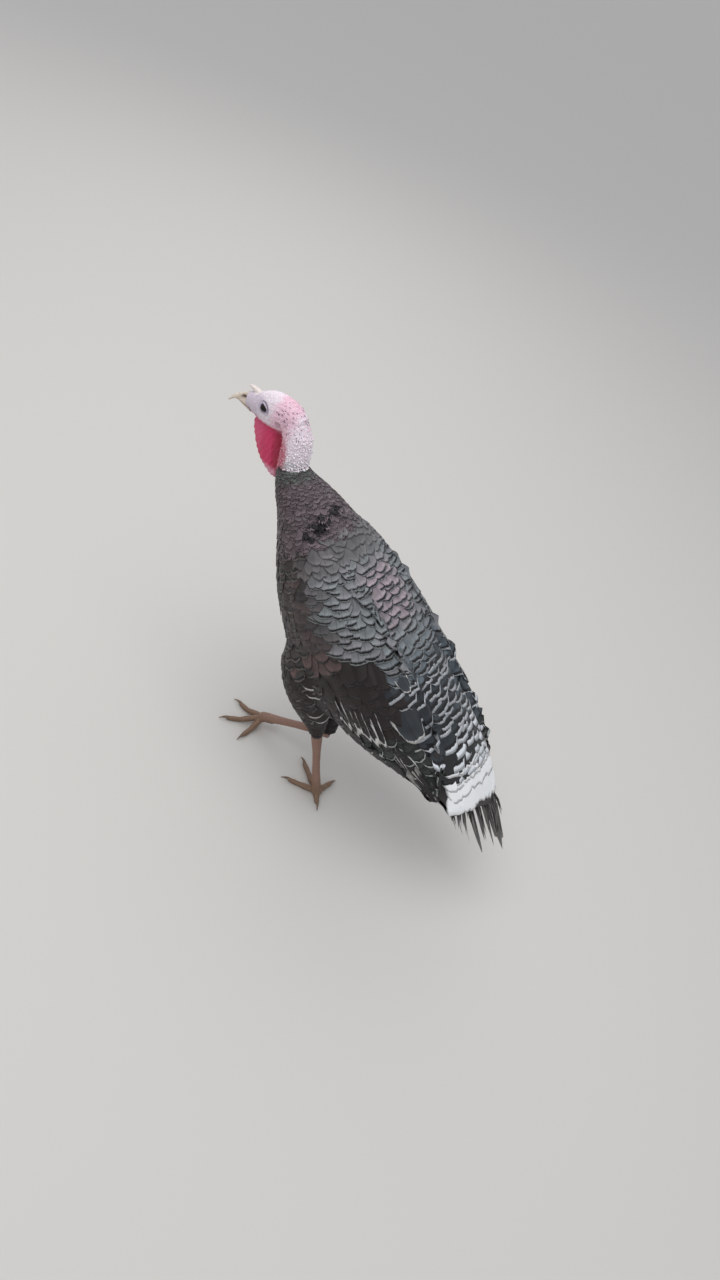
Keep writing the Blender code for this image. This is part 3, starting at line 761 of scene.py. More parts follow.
def lay_path(tree, feather, steps):
    """Follow a surface from a root: places and normals along the shaft of one feather."""
    point, out, way = np.array(feather["root"]), np.array(feather["out"]), np.array(feather["heading"])
    way = unit(way - out * (way @ out))
    spots, outs = [point], [out]
    step = feather["length"] / steps
    most = feather.get("bend", 0.25) * step
    for _ in range(steps):
        ahead = point + way * step
        nearest, face_out, _, far = tree.find_nearest(Vector(ahead))
        pull = np.array(nearest) - ahead
        pull -= way * (pull @ way)
        pull *= min(1.0, most / max(np.linalg.norm(pull), 1e-9))
        point = ahead + pull
        way = unit(way * step + pull)
        if far < TOUCHING:
            out = 0.6 * out + 0.4 * np.array(face_out)
        out = unit(out - way * (out @ way))
        spots.append(point)
        outs.append(out)
    return spots, outs


def unwrap(feathers):
    """Give each feather a patch of the bake map at its root's place: along the body, round it."""
    rows = sorted({f["row"] for f in feathers})
    high = 1.0 / len(rows)
    for k, row in enumerate(rows):
        members = sorted((f for f in feathers if f["row"] == row), key=lambda f: f["turn"])
        wide = 1.0 / len(members)
        for j, feather in enumerate(members):
            corner = (j + PATCH_MARGIN) * wide, (k + PATCH_MARGIN) * high
            feather["patch"] = (*corner, PATCH_SIZE * wide, PATCH_SIZE * high)


def quads_of(index):
    """The quads between the rows and columns of a grid of vertices."""
    return np.stack((index[:-1, :-1], index[:-1, 1:], index[1:, 1:], index[1:, :-1]), -1).reshape(-1, 4)


def make_vanes(name, feathers, tree, along=8, across=6, hug=0.5):
    """One mesh of many vanes. Each feather is a dictionary of its place, size and marks."""
    def column(key, usual=0.0):
        return np.array([f.get(key, usual) for f in feathers])[:, None, None]

    unwrap(feathers)
    chance = np.random.default_rng(len(feathers) + along)
    count, rows, columns = len(feathers), along + 1, across + 1
    spots, outs = (np.array(part) for part in zip(*(lay_path(tree, f, along) for f in feathers)))
    ways = np.gradient(spots, axis=1)
    ways /= np.linalg.norm(ways, axis=2, keepdims=True)
    sides = np.cross(outs, ways)
    lengths, widths = column("length"), column("width") / 2.0
    v = np.linspace(0.0, 1.0, rows)[None, :, None]
    u = np.linspace(-1.0, 1.0, columns)[None, None, :]
    fray = column("fray", 0.04) * chance.random((count, 1, columns)) ** 2
    reach = 1.0 - column("pointed", 0.20) * np.abs(u) ** 2.4 - 0.16 * np.abs(u) ** 8 - fray
    spread = (0.30 + 0.70 * np.sin(np.clip(v * 1.45, 0, 1) * math.pi / 2)) * (1.0 - 0.16 * ease(0.72, 1.0, v))
    slide = lengths * v * (reach - 1.0)
    grid = (
        spots[:, :, None, :] + ways[:, :, None, :] * slide[..., None]
        + sides[:, :, None, :] * (widths * spread * u)[..., None]
    )
    # The blade bends round the body, then takes its own arch, lift and roll
    met = [tree.find_nearest(Vector(p)) for p in grid.reshape(-1, 3)]
    pull = np.array([m[0] for m in met]).reshape(grid.shape) - grid
    pull -= ways[:, :, None, :] * (pull * ways[:, :, None, :]).sum(3, keepdims=True)
    size = np.linalg.norm(pull, axis=3, keepdims=True)
    grid += pull * np.minimum(1.0, hug * widths[..., None] / np.maximum(size, 1e-9))
    height = -column("depth", 0.0030) * (1.0 - v) + column("lift", 0.0006) * v ** 2
    height = height - column("curl", 0.07) * widths * u ** 2 + column("roll") * widths * u
    height = height + 0.00022 * np.exp(-(u / 0.2) ** 2) - column("sink")
    grid += outs[:, :, None, :] * height[..., None]
    inner = grid[:, 1:-1, 1:-1, :] - outs[:, 1:-1, None, :] * VANE_THICKNESS
    top_count, inner_count = rows * columns, (rows - 2) * (columns - 2)
    per = top_count + inner_count
    points = np.concatenate((grid.reshape(count, -1, 3), inner.reshape(count, -1, 3)), axis=1)
    top_index = np.arange(top_count).reshape(rows, columns)
    low_index = top_index.copy()
    low_index[1:-1, 1:-1] = top_count + np.arange(inner_count).reshape(rows - 2, columns - 2)
    top, low = quads_of(top_index), quads_of(low_index)[:, (0, 3, 2, 1)]
    quads = np.concatenate((top, low))
    faces = (quads[None] + (np.arange(count) * per)[:, None, None]).reshape(-1)
    mesh = bpy.data.meshes.new(name)
    mesh.vertices.add(count * per)
    mesh.vertices.foreach_set("co", points.astype(np.float32).ravel())
    mesh.loops.add(len(faces))
    mesh.loops.foreach_set("vertex_index", faces.astype(np.int32))
    mesh.polygons.add(len(faces) // 4)
    mesh.polygons.foreach_set("loop_start", np.arange(0, len(faces), 4, dtype=np.int32))
    mesh.update(calc_edges=True)
    mesh.validate()
    # The feather's own map, and a patch for each side of it on the unwrap of the tract
    own_u = np.broadcast_to((u[0] + 1.0) / 2.0, (rows, columns)).ravel()
    own_v = np.broadcast_to(v[0], (rows, columns)).ravel()
    whole = np.concatenate((np.arange(top_count), top_index[1:-1, 1:-1].ravel()))
    corner_own = np.stack((own_u[whole], own_v[whole]), -1)[quads.ravel()]
    patches = np.array([f["patch"] for f in feathers])
    is_low = np.repeat(np.arange(len(quads)) >= len(top), 4)
    patch_u = np.where(is_low, 0.74 + 0.22 * corner_own[:, 0], 0.02 + 0.68 * corner_own[:, 0])
    baked_u = patches[:, 0:1] + patches[:, 2:3] * patch_u[None]
    baked_v = patches[:, 1:2] + patches[:, 3:4] * corner_own[None, :, 1]
    fill_map(mesh, "Vane", np.tile(corner_own, (count, 1)))
    fill_map(mesh, "OFBake", np.stack((baked_u, baked_v), -1))
    made = new_piece(name, mesh)
    for key in ("tint", "edge", "marks"):
        store_colour(made, key, np.repeat(np.array([f[key] for f in feathers], np.float32), per, axis=0))
    smooth_with(made, vane_finish)
    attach(made, "root")
    print(name, count, "feathers", len(mesh.polygons) * 2, "triangles")
    return made


# The line of each thigh from hip to hock, and how far from it the plumage belongs to the thigh
HIPS = {
    "left": ((0.1040, 0.2520, 0.0520), (0.0490, 0.1140, 0.0270)),
    "right": ((0.1050, 0.2450, -0.0500), (0.0410, 0.0870, -0.0140)),
}
THIGH_RADIUS, THIGH_TAPER, BELOW_HIP = 0.046, 0.022, 0.12


def on_thigh(spot):
    """Whether a place on the coat belongs to a thigh, below the hip."""
    for hip, hock in HIPS.values():
        start, end = at(*hip), at(*hock)
        share = (spot - start) @ (end - start) / ((end - start) @ (end - start))
        apart = np.linalg.norm(spot - start - share * (end - start))
        if share > BELOW_HIP and apart < THIGH_RADIUS - THIGH_TAPER * share:
            return True
    return False


def tract(span, arc, size, look, lean=0.0, stray=6.0, seed=1, off_thighs=False):
    """Rows of feathers over a stretch of the body. arc, size and look are functions of place;
    lean turns them from the way to the tail down the side."""
    chance = np.random.default_rng(seed)
    reach, row, found = span[0], 0, []
    while reach < span[1]:
        start, end = arc(reach)
        length, width, step = size(reach)
        middle = surface_at(reach, (start + end) / 2)
        radius = np.linalg.norm(middle[0] - axis_frame(reach)[0])
        turn_step = math.degrees(width * OVERLAP / radius)
        for angle in np.arange(start + turn_step * (0.25 + 0.5 * (row % 2)), end, turn_step):
            turn = angle + turn_step * chance.uniform(-0.16, 0.16)
            back = reach + step * chance.uniform(-0.22, 0.22)
            hit = surface_at(back, turn)
            if hit is None or (off_thighs and on_thigh(hit[0])):
                continue
            spot, out, line, down = hit
            swing = math.radians(lean + chance.uniform(-stray, stray))
            feather = {
                "root": spot, "out": out, "heading": line * math.cos(swing) + down * math.sin(swing),
                "length": length * chance.uniform(0.93, 1.07), "width": width * chance.uniform(0.92, 1.08),
                "lift": 0.0004 * chance.uniform(0.2, 2.0), "roll": chance.uniform(-0.05, 0.05),
                "row": row, "turn": turn, "reach": back,
            }
            feather.update(look(back, turn, chance))
            found.append(feather)
        reach += step
        row += 1
    return found


def spread_of(chance, amount):
    return 1.0 + amount * chance.uniform(-1.0, 1.0)


def mix(first, second, share):
    return first * (1.0 - share) + second * share


# The ruff at the neck's foot and the shoulders: small, brown with a purple cast, thin edges
RUFF_TINT, RUFF_EDGE, RING_GREEN = palette((104, 91, 95), (136, 119, 124), (92, 98, 92))
LIFTED_DARK, FLUFF_GREY = palette((30, 26, 28), (107, 104, 104))
LIFTED_COUNT = 15


def ruff_look(reach, angle, chance):
    ring = float(ease(0.012, 0.000, reach))
    return {
        "tint": mix(RUFF_TINT, RING_GREEN, ring) * spread_of(chance, 0.28),
        "edge": RUFF_EDGE * spread_of(chance, 0.30),
        "marks": (0.06 * chance.uniform(0.2, 1.5), 0.04, 0.0), "fray": 0.10, "pointed": 0.16,
        "roll": chance.uniform(-0.08, 0.08), "lift": 0.0003, "depth": 0.0018,
    }


ruff = tract(
    (-0.010, 0.092), lambda reach: (-150, 150) if reach < 0.010 else (-180, 180),
    lambda reach: (0.015 + 0.13 * reach, 0.0085 + 0.10 * reach, 0.0040 + 0.026 * reach),
    ruff_look, stray=20.0, seed=3,
)
# A few ragged dark feathers stand up on the left shoulder
for k in range(LIFTED_COUNT):
    chance = np.random.default_rng(200 + k)
    angle = 12 + 4.2 * k + chance.uniform(-4, 4)
    reach = 0.056 + 0.018 * chance.random() + 0.00018 * abs(angle - 10)
    spot, out, line, _ = surface_at(reach, angle)
    ruff.append({
        "root": spot, "out": out, "heading": line + 0.35 * chance.normal(size=3),
        "length": chance.uniform(0.015, 0.025), "width": chance.uniform(0.007, 0.013), "depth": 0.0015,
        "lift": chance.uniform(0.002, 0.006), "roll": chance.uniform(-0.5, 0.5), "curl": 0.4,
        "row": 100, "turn": angle, "tint": LIFTED_DARK * spread_of(chance, 0.5),
        "edge": LIFTED_DARK if k % 3 else RUFF_EDGE * 1.2, "marks": (0.12, 0.0, 0.0), "fray": 0.4,
    })
make_vanes("ruff_feathers", ruff, drape_tree, along=6, across=8)

# The mantle between the wings: soft grey fluff, then a purplish patch, then teal-grey rows
MANTLE_PURPLE, MANTLE_TEAL = palette((154, 140, 145), (131, 136, 138))
MANTLE_BLUE, MANTLE_EDGE = palette((98, 108, 115), (176, 179, 182))


def sheen_at(reach, angle):
    """A slow change of sheen over the body, from -1, green, to 1, purple."""
    return float(ripple(np.array(((reach * 2.2, math.radians(angle) * 0.35, 0.3),)), 20.0, 2.0)[0])


def mantle_look(reach, angle, chance):
    purple = float(ease(0.120, 0.145, reach) * ease(0.240, 0.205, reach) * ease(40, 22, abs(angle - 5)))
    tint = mix(FLUFF_GREY, MANTLE_TEAL, float(ease(0.10, 0.14, reach)))
    tint = mix(tint, MANTLE_PURPLE, purple)
    rear = float(ease(0.22, 0.30, reach))
    tint = mix(tint, MANTLE_BLUE * 0.8, rear)
    plain = float(ease(0.128, 0.112, reach))
    edge = mix(MANTLE_EDGE * spread_of(chance, 0.2) * (1 + 0.5 * rear), tint * 1.1, plain)
    return {
        "tint": tint * spread_of(chance, 0.10), "edge": edge,
        "marks": (0.026 + 0.02 * rear, (0.060 + 0.03 * rear) * (1 - plain), 0.0),
        "fray": 0.05 + 0.15 * plain, "pointed": 0.08 + 0.10 * plain, "depth": 0.0028 - 0.0012 * plain,
    }


mantle = tract(
    (0.080, 0.315), lambda reach: (-48, 48),
    lambda reach: (0.030 + 0.060 * reach, 0.026 + 0.060 * reach, 0.0085 + 0.012 * reach),
    mantle_look, stray=9.0, seed=4,
)
make_vanes("mantle_feathers", mantle, drape_tree)

# The rump and upper tail coverts: blue-black with a white crescent that grows to the rear. A
# blue-grey sheen is laid on as a painted reflection, strongest on the right side and varying at
# random from feather to feather.
RUMP_BLUE_SHEEN, RUMP_BLACK, RUMP_EDGE = palette((72, 82, 89), (35, 39, 44), (222, 225, 229))


def rump_look(reach, angle, chance):
    rear = float(ease(0.36, 0.49, reach))
    # Painted reflection: lighter blue-grey towards the right side, and by a random share on each feather.
    painted_sheen = float(ease(20, -30, angle)) * 0.6 + 0.4 * chance.random()
    return {
        "tint": mix(RUMP_BLACK, RUMP_BLUE_SHEEN, painted_sheen) * spread_of(chance, 0.15),
        "edge": RUMP_EDGE * spread_of(chance, 0.10),
        "marks": (0.062 + 0.21 * rear * chance.uniform(0.6, 1.3), 0.10, 0.0), "fray": 0.06, "pointed": 0.06,
    }


rump = tract(
    (0.288, 0.464), lambda reach: (-64, 62),
    lambda reach: (0.052, 0.050 - 0.05 * (reach - 0.288), 0.0125), rump_look, stray=8.0, seed=5,
)
make_vanes("rump_feathers", rump, drape_tree)

# The last coverts lie in rows across the flat root of the tail: long above, with a broad white
# end, so together they make a white band with a ragged edge; black with white tips below
WHITE_FROM = 0.512
BAND_ROWS, BAND_COLUMNS = (0.456, 0.472, 0.490, 0.519), 10
BAND_HALF_WIDTH, BAND_LENGTH, BAND_WIDTH, BAND_RAY = 0.060, 0.048, 0.029, 0.2
BAND_MIDDLE = 4.75
WHITE, VENT_TINT, VENT_EDGE = palette((252, 252, 252), (40, 40, 40), (190, 188, 184))
white = []
for face in (1, -1):
    for row, reach in enumerate(BAND_ROWS):
        above = face > 0
        chance = np.random.default_rng(90 + row + 10 * above)
        centre, line, over, left_way = axis_frame(reach)
        for k in range(BAND_COLUMNS):
            side_place = (k + 0.5 * (row % 2) - BAND_MIDDLE) / BAND_MIDDLE + chance.uniform(-0.04, 0.04)
            start = centre + left_way * side_place * BAND_HALF_WIDTH + over * face * BAND_RAY
            spot, out, _ = cast(drape_tree, start, -over * face)
            if spot is None:
                continue
            length = BAND_LENGTH * chance.uniform(0.92, 1.04)
            share = (reach + length - WHITE_FROM + chance.uniform(-0.007, 0.007)) / length
            white.append({
                "root": spot, "out": out,
                "heading": line + left_way * (0.10 * side_place + chance.uniform(-0.06, 0.06)),
                "length": length, "width": BAND_WIDTH, "depth": 0.0008, "lift": 0.0, "curl": 0.03,
                "bend": 0.16,
                "tint": VENT_TINT * spread_of(chance, 0.2),
                "edge": WHITE * spread_of(chance, 0.02) if above else VENT_EDGE,
                "marks": (min(max(share, 0.12), 1.1) if above else 0.14, 0.05, 0.0),
                "fray": 0.16, "pointed": 0.08, "row": row + 10 * above, "turn": side_place,
            })
make_vanes("white_coverts", white, drape_tree, hug=0.8)

# Breast and belly: brown-grey with thin pale edges
BREAST_TINT, BREAST_EDGE = palette((60, 54, 53), (122, 112, 110))


def breast_look(reach, angle, chance):
    rear = float(ease(0.27, 0.36, reach))
    bright = rear * (chance.random() < 0.30)
    return {
        "tint": mix(BREAST_TINT, VENT_TINT, rear) * spread_of(chance, 0.22),
        "edge": mix(mix(BREAST_EDGE, VENT_TINT, rear), VENT_EDGE, bright) * spread_of(chance, 0.15),
        "marks": (0.05, 0.08, 0.0), "fray": 0.06, "pointed": 0.12,
    }


def below_wing(reach):
    start = float(np.interp(reach, (0.08, 0.12, 0.30, 0.40), (76.0, 110.0, 120.0, 113.0)))
    return start, 360.0 - start


belly = tract(
    (0.080, 0.470), below_wing,
    lambda reach: (0.034 + 0.03 * reach, 0.021 + 0.04 * reach, 0.0105 + 0.014 * reach),
    breast_look, seed=7, off_thighs=True,
)
make_vanes("breast_feathers", belly, drape_tree)


# ------------------------------------------------------------------ plumage of the wings
# Each wing is folded against the trunk. Rows of coverts run over it, small and teal-grey at the
# bend, larger behind it, then a block of chocolate greater coverts over the great quills.
WING_GREY, WING_TEAL, WING_PURPLE = palette((112, 109, 110), (126, 133, 133), (129, 125, 130))
WING_LOW, WING_EDGE, CHOCOLATE = palette((52, 43, 42), (172, 178, 179), (36, 25, 24))
BRONZE, QUILL_BLACK, TERTIAL_BLUE = palette((98, 78, 76), (36, 33, 35), (47, 51, 55))
QUILL_WHITE, FLANK_BLACK, FLANK_EDGE = palette((222, 220, 216), (46, 52, 48), (196, 204, 198))
# Where the last coverts are rooted, and where the chocolate block below them ends
COVERT_TURNS, COVERT_ENDS = (35, 48, 66, 86, 110), (0.278, 0.252, 0.230, 0.207, 0.200)
GREATER_TURNS, GREATER_ENDS = (48, 63, 87, 100, 117, 123), (0.372, 0.404, 0.402, 0.372, 0.344, 0.336)
GREATER_SHOWN = 0.88


def covert_look(reach, angle, chance):
    front = float(ease(0.112, 0.130, reach))
    tint = mix(WING_GREY, mix(WING_TEAL, WING_PURPLE, 0.5 + 0.5 * sheen_at(reach, angle)), front)
    low = float(ease(72, 94, abs(angle) + 12 * chance.random())) * 0.95
    tint = mix(tint, mix(WING_LOW, BRONZE, 0.5 * chance.random()), low)
    edge = mix(mix(tint * 1.1, WING_EDGE, front), tint * 1.1, low)
    return {
        "tint": tint * spread_of(chance, 0.12), "edge": edge * spread_of(chance, 0.2),
        "marks": (0.024, 0.062 * front * (1 - low), 0.0),
        "fray": 0.05 + 0.15 * (1 - front), "pointed": 0.08 + 0.10 * (1 - front),
        "depth": 0.0030 - 0.0012 * (1 - front),
    }


def greater_look(reach, angle, chance):
    sheen = (0.15 + 0.85 * chance.random()) * float(ease(0.235, 0.215, reach))
    return {
        "tint": mix(CHOCOLATE, BRONZE, sheen) * spread_of(chance, 0.12),
        "edge": mix(CHOCOLATE, BRONZE, 0.3) * spread_of(chance, 0.2),
        "marks": (0.012, 0.03, 0.0), "fray": 0.03, "sink": 0.0003, "pointed": 0.18,
    }


def flank_look(reach, angle, chance):
    bright = chance.random() < 0.55
    return {
        "tint": FLANK_BLACK * spread_of(chance, 0.25),
        "edge": mix(FLANK_BLACK, FLANK_EDGE, bright) * spread_of(chance, 0.2),
        "marks": (0.045 * chance.uniform(0.6, 1.4), 0.06, 0.0), "fray": 0.04, "pointed": 0.22, "sink": 0.0012,
    }


def quill(reach, angle, toward, length, width, side, **looks):
    """One great feather of the wing, from its root towards another place on the body."""
    spot, out = surface_at(reach, angle * side)[:2]
    aim = surface_at(toward[0], toward[1] * side)[0]
    feather = {
        "root": spot, "out": out, "heading": aim - spot, "length": length, "width": width, "depth": 0.001,
        "lift": 0.0, "row": 200, "turn": reach, "curl": 0.05, "pointed": 0.22, "fray": 0.03,
        "tint": QUILL_BLACK, "edge": QUILL_WHITE, "marks": (0.03, 0.0, 0.0),
    }
    feather.update(looks)
    return feather


secondary_turns = np.linspace(118, 92, 7)
secondary_ends = np.interp(secondary_turns, GREATER_TURNS, GREATER_ENDS)
for name, side in SIDES:
    def over_wing(start, end):
        return (start, end) if side > 0 else (-end, -start)

    coverts = tract(
        (0.098, 0.345), lambda reach: over_wing(30, 122),
        lambda reach: (0.021 + 0.105 * reach, 0.019 + 0.095 * reach, 0.0060 + 0.022 * reach), covert_look,
        lean=20.0, stray=9.0, seed=11, off_thighs=True,
    )
    coverts = [f for f in coverts if f["reach"] < np.interp(abs(f["turn"]), COVERT_TURNS, COVERT_ENDS)]
    make_vanes(f"wing_coverts_{name}", coverts, drape_tree)
    greater = tract(
        (0.196, 0.345),
        lambda reach: over_wing(float(np.interp(reach, (0.20, 0.25, 0.30), (78, 56, 46))), 123),
        lambda reach: (0.060, 0.038, 0.018), greater_look, lean=12.0, seed=12,
    )
    greater = [
        f for f in greater
        if f["reach"] + GREATER_SHOWN * f["length"] < np.interp(abs(f["turn"]), GREATER_TURNS, GREATER_ENDS)
    ]
    flank = tract(
        (0.345, 0.480), lambda reach: over_wing(62, 117), lambda reach: (0.046, 0.030, 0.017),
        flank_look, lean=8.0, seed=13,
    )
    for feather in flank:
        feather["row"] += 20
    # Great quills: secondaries with white edges below the coverts, plain primaries at the
    # point of the wing, and the tertials that lie over them near the back
    quills = [
        quill(
            end - 0.066, angle - 7, (end, angle), 0.074 + 0.006 * (k % 3), 0.023, side,
            depth=0.0052, sink=-0.0002 * k, marks=(0.06 + 0.06 * (k % 2), 0.0, 0.20 + 0.16 * (k % 3)),
            fray=0.14, pointed=0.34, roll=0.06, turn=angle)
        for k, (angle, end) in enumerate(zip(secondary_turns, secondary_ends))
    ]
    quills += [
        quill(
            0.396 + 0.004 * k, 92 - 3.0 * k, (0.525, 88 - 2.0 * k), 0.096 + 0.006 * k, 0.018, side,
            sink=0.0010 - 0.0004 * k, marks=(0.03, 0.0, 0.07), pointed=0.4, turn=20 + k)
        for k in range(3)
    ]
    quills += [
        quill(
            0.330, 60, (0.45, 68), 0.082, 0.042, side, sink=-0.0030, depth=0.0070, lift=0.0004, curl=0.02,
            tint=TERTIAL_BLUE, marks=(0.040, 0.0, -0.15), fray=0.05, pointed=0.11, turn=130),
        quill(
            0.302, 47, (0.42, 49), 0.040, 0.020, side, sink=-0.0018, depth=0.0040, lift=0.0004,
            tint=TERTIAL_BLUE * 1.3, marks=(0.05, 0.0, 0.12), fray=0.10, pointed=0.20, turn=131),
    ]
    make_vanes(f"wing_quills_{name}", greater + flank + quills, drape_tree, along=12, across=8)


# ------------------------------------------------------------------ plumage of the thighs
# Feathers run down the drumstick to the hock, brown-black with a white crescent here and
# there near its lower end.
THIGH_TINT, THIGH_EDGE = palette((37, 26, 24), (214, 210, 206))
THIGH_ROWS, THIGH_FROM, THIGH_SPAN = 17, -0.15, 1.12
THIGH_RAY, THIGH_NEAREST, THIGH_FACING = 0.12, 0.066, 0.3
CRESCENTS = ((0.076, 0.242, 0.088), (0.066, 0.228, 0.083), (0.056, 0.182, 0.067), (0.045, 0.168, 0.054))
CRESCENT_LENGTH = 0.030
for name, (hip, hock) in HIPS.items():
    chance = np.random.default_rng(31)
    start, end = at(*hip), at(*hock)
    line = unit(end - start)
    side_way = unit(np.cross(line, (0.0, 1.0, 0.0)))
    front_way = np.cross(side_way, line)
    feathers = []
    for row in range(THIGH_ROWS):
        share = THIGH_FROM + THIGH_SPAN * row / (THIGH_ROWS - 1)
        lower = max(share, 0.0)
        centre = start + (end - start) * share
        columns = round(18 - 8 * lower)
        for place in range(columns):
            turn = 2 * math.pi * (place + 0.5 * (row % 2) + chance.uniform(-0.15, 0.15)) / columns
            ray = side_way * math.cos(turn) + front_way * math.sin(turn)
            spot, out, far = cast(coat_tree, centre + ray * THIGH_RAY, -ray)
            if spot is None or far < THIGH_NEAREST or out @ ray < THIGH_FACING:
                continue
            feathers.append({
                "root": spot, "out": out, "heading": line + 0.12 * np.array((0.0, 1.0, 0.0)),
                "length": 0.036 - 0.016 * lower, "width": 0.026 - 0.009 * lower,
                "roll": chance.uniform(-0.05, 0.05), "row": row, "turn": turn, "fray": 0.08,
                "tint": THIGH_TINT * spread_of(chance, 0.25), "edge": THIGH_TINT * 1.15,
                "marks": (0.04, 0.05, 0.0),
            })
    for k, (forward, height, left) in enumerate(CRESCENTS):
        tip = at(forward, height, left if name == "left" else -left)
        spot, out, _, _ = drape_tree.find_nearest(Vector(tip - line * CRESCENT_LENGTH))
        feathers.append({
            "root": spot, "out": out, "heading": tip - np.array(spot), "length": CRESCENT_LENGTH,
            "width": 0.032, "depth": 0.0030, "lift": 0.0004, "sink": -0.0022, "row": THIGH_ROWS, "turn": k,
            "fray": 0.05, "tint": THIGH_TINT, "edge": THIGH_EDGE, "marks": (0.10, 0.06, 0.0), "pointed": 0.20,
        })
    make_vanes(f"thigh_feathers_{name}", feathers, coat_tree)


# ------------------------------------------------------------------ tail
# A short closed tail of a few worn quills, dark grey and split into wisps, fixed in the rump
# and covered at their roots by the white coverts.
TAIL_LENGTHS = (0.028, 0.076, 0.062, 0.054, 0.066, 0.048, 0.036, 0.024)
TAIL_WIDTHS = (0.006, 0.024, 0.008, 0.009, 0.013, 0.008, 0.006, 0.005)
TAIL_HALF_WIDTH, RIM_SKEW, TAIL_SPREAD, TAIL_HIDDEN = 0.058, 0.28, 14.0, 0.034
WISPS, WISP_WIDTH = 7, 0.0018
TAIL_GREY, TAIL_PALE = palette((100, 98, 96), (172, 164, 156))
tail_tree = tree_of(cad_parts["tail"])
rim, line, over, left_way = axis_frame(AXIS_REACH[-1])
feathers = []
for k, (reach, width) in enumerate(zip(TAIL_LENGTHS, TAIL_WIDTHS)):
    chance = np.random.default_rng(60 + k)
    for wisp in range(WISPS):
        main = wisp == 0
        spread = 2.0 * (k + 0.5 + chance.uniform(-0.45, 0.45) * (not main)) / len(TAIL_LENGTHS) - 1.0
        turn = math.radians(TAIL_SPREAD * spread)
        heading = line * math.cos(turn) + left_way * math.sin(turn)
        root = rim + (left_way - line * RIM_SKEW) * spread * TAIL_HALF_WIDTH - heading * TAIL_HIDDEN
        feathers.append({
            "root": root + over * (0.0012 * main + 0.0004 * wisp), "out": over,
            "heading": heading + left_way * chance.uniform(-0.12, 0.12) * (not main),
            "length": TAIL_HIDDEN + reach * (1.0 if main else chance.uniform(0.25, 0.75)),
            "width": width if main else WISP_WIDTH,
            "depth": 0.0, "lift": 0.0005 * wisp, "curl": 0.10, "row": k, "turn": wisp, "bend": 0.02,
            "tint": TAIL_GREY * spread_of(chance, 0.25), "edge": TAIL_PALE, "marks": (0.02, 0.0, 0.0),
            "pointed": 0.50 if main else 0.30, "fray": 0.20,
        })
quills = make_vanes("tail_quills", feathers, tail_tree, along=12, across=6, hug=0.0)
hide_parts("tail")


# ------------------------------------------------------------------ caruncles and bristles
# Fleshy pimples of the skin stand thick down the neck, blunt and white, and small and pink on
# the head. Sparse dark hair-like feathers grow between them on the head.
HEAD_LINE = np.array((
    (0.318, 0.538), (0.304, 0.536), (0.288, 0.528), (0.280, 0.512), (0.2745, 0.492), (0.268, 0.474),
))
HEAD_REACH = reach_along(HEAD_LINE)
PIMPLE_STEP, TURN_STEP, TURN_END = 0.0033, 0.15, 2.6
HEAD_RAY, HEAD_SPAN = 0.06, 0.012
BRISTLE_SHARE, BRISTLE_REACH, BRISTLE_TURN = 0.34, 0.048, 1.9
PIMPLE_WHITE, PIMPLE_PINK, PIMPLE_RED = palette((240, 234, 238), (226, 176, 190), (192, 66, 92))
BRISTLE_DARK, BRISTLE_TIP = palette((112, 74, 84), (58, 40, 46))
BRISTLE_RADIUS = 0.00050
LEFT = np.array((1.0, 0.0, 0.0))
skin_tree = tree_of(skin)


def head_surface(reach, turn):
    """Place and normal of the skin round the line through head and neck; turn 0 is the back."""
    behind, centre, ahead = (
        at(np.interp(far, HEAD_REACH, HEAD_LINE[:, 0]), np.interp(far, HEAD_REACH, HEAD_LINE[:, 1]), 0.0)
        for far in (reach - HEAD_SPAN, reach, reach + HEAD_SPAN)
    )
    line = unit(ahead - behind)
    back = np.cross(LEFT, line)
    back *= np.sign(back[1] + 0.3 * back[2])
    ray = back * math.cos(turn) + LEFT * math.sin(turn)
    return *cast(skin_tree, centre + ray * HEAD_RAY, -ray)[:2], line


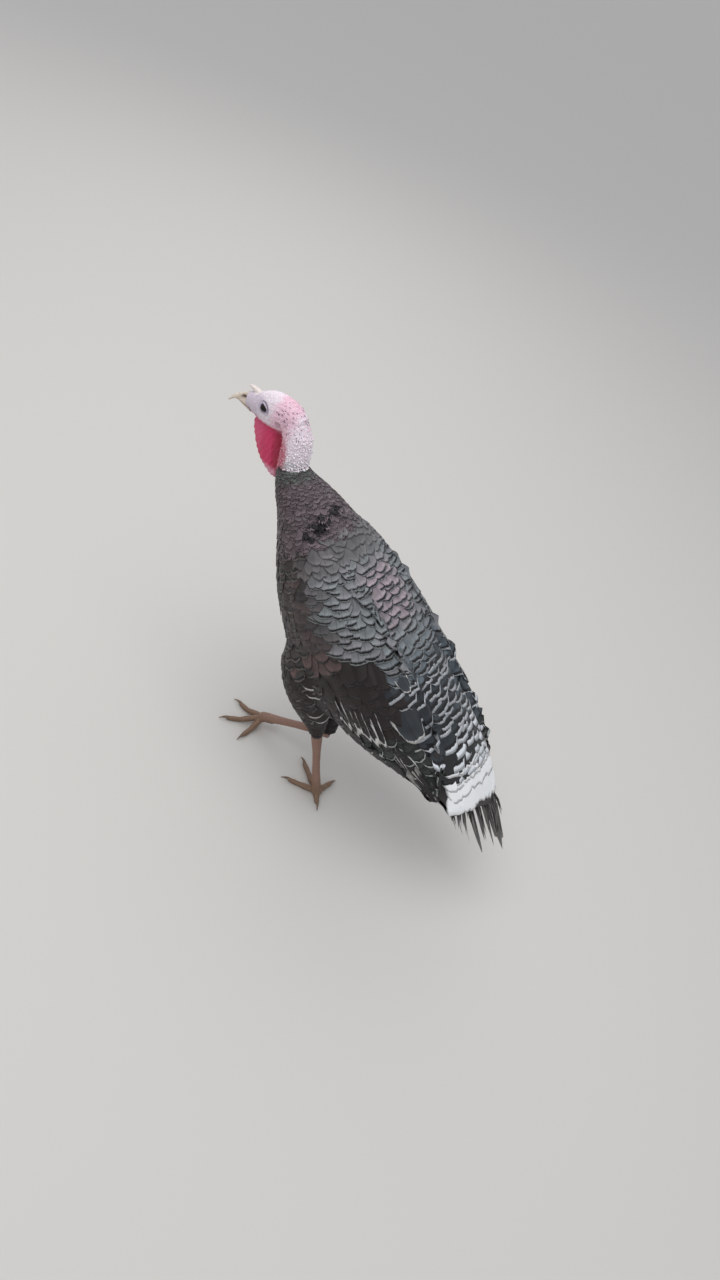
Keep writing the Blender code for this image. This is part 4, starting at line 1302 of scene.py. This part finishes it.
def spikes(name, items, sides=6, rings=4, blunt=2.2):
    """One mesh of many small spikes, blunt or pointed, each with its patch of the bake map, laid out
    in their order over the head. Each: root, direction, bend, length, radius, colour, tip colour."""
    verts, faces, colours, corners = [], [], [], []
    columns = math.ceil(math.sqrt(len(items)))
    # A spike's own map: its sides unrolled, its top, and its foot as a small disc
    own = [
        ((k + i) / sides, 0.15 + 0.8 * (ring + j) / rings)
        for ring in range(rings - 1) for k in range(sides) for i, j in ((0, 0), (1, 0), (1, 1), (0, 1))
    ]
    shoulder = 0.15 + 0.8 * (rings - 1) / rings
    for k in range(sides):
        own += [(k / sides, shoulder), ((k + 1) / sides, shoulder), ((k + 0.5) / sides, 0.95)]
    for k in reversed(range(sides)):
        turn = 2 * math.pi * k / sides
        own.append((0.5 + 0.45 * math.cos(turn), 0.06 - 0.05 * math.sin(turn)))
    for item, (root, way, bend, length, radius, colour, tip) in enumerate(items):
        way = unit(way)
        across = unit(np.cross(way, (0.3, 0.9, 0.2)))
        other = np.cross(way, across)
        base = len(verts)
        for ring in range(rings):
            t = ring / rings
            centre = root + way * length * t + bend * length * 0.4 * t * t
            size = radius * (1.0 - t ** blunt) ** 0.7
            for k in range(sides):
                turn = 2 * math.pi * k / sides
                verts.append(centre + (across * math.cos(turn) + other * math.sin(turn)) * size)
                colours.append(colour * (1 - t) + tip * t)
        verts.append(root + way * length + bend * length * 0.4)
        colours.append(tip)
        for ring in range(rings - 1):
            for k in range(sides):
                a, b = base + ring * sides + k, base + ring * sides + (k + 1) % sides
                faces.append((a, b, b + sides, a + sides))
        top = base + (rings - 1) * sides
        faces += [(top + k, top + (k + 1) % sides, len(verts) - 1) for k in range(sides)]
        faces.append(tuple(base + k for k in reversed(range(sides))))
        corner = np.array((item % columns, item // columns)) / columns
        corners.append(corner + 0.9 * np.array(own) / columns)
    mesh = bpy.data.meshes.new(name)
    mesh.from_pydata([tuple(v) for v in verts], [], faces)
    mesh.update()
    fill_map(mesh, "OFBake", np.concatenate(corners))
    made = new_piece(name, mesh)
    store_colour(made, "tint", np.array(colours))
    select_only(made)
    bpy.ops.object.mode_set(mode="EDIT")
    bpy.ops.mesh.select_all(action="SELECT")
    bpy.ops.mesh.normals_make_consistent(inside=False)
    bpy.ops.object.mode_set(mode="OBJECT")
    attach(made, "root")
    return made


chance = np.random.default_rng(77)
pimples, bristles = [], []
for reach in np.arange(0.004, HEAD_REACH[-1], PIMPLE_STEP):
    low_down = float(ease(0.026, 0.052, reach))
    for turn in np.arange(-TURN_END, TURN_END, TURN_STEP):
        turn = turn + chance.uniform(-0.05, 0.05)
        spot, out, line = head_surface(reach + chance.uniform(-0.001, 0.001), turn)
        if spot is None or throat_share(spot[None])[0] > 0.2:
            continue
        back = float(ease(1.35, 0.55, abs(turn)))
        front = float(ease(1.5, 2.0, abs(turn))) * low_down
        crown = float(ease(0.95, 0.4, abs(turn))) * (1 - low_down)
        if chance.random() > low_down * (0.55 + 0.45 * back) + 0.42 * crown:
            if reach < BRISTLE_REACH and abs(turn) < BRISTLE_TURN and chance.random() < BRISTLE_SHARE:
                way = out * 0.22 + line * 0.9 + 0.35 * chance.normal(size=3) * np.abs(line[::-1])
                length = chance.uniform(0.0026, 0.0050)
                bristles.append((spot, way, -out * 0.35, length, BRISTLE_RADIUS, BRISTLE_DARK, BRISTLE_TIP))
            continue
        colour = mix(mix(PIMPLE_PINK, PIMPLE_WHITE, low_down), PIMPLE_RED, front)
        size = 0.0010 + 0.0011 * low_down * chance.random() * (0.5 + 0.5 * back)
        length = size * (1.25 + 0.55 * back * chance.random())
        pimples.append((
            spot - out * 0.0004, out + line * 0.5 * back, line * 0.4, length,
            size, colour, mix(colour, PIMPLE_WHITE, 0.5),
        ))
caruncles = spikes("caruncles", pimples)
smooth_with(caruncles, bare_finish)
hairs = spikes("bristles", bristles, sides=4, rings=3, blunt=1.0)
smooth_with(hairs, horn_finish)

bpy.data.objects.remove(coat)
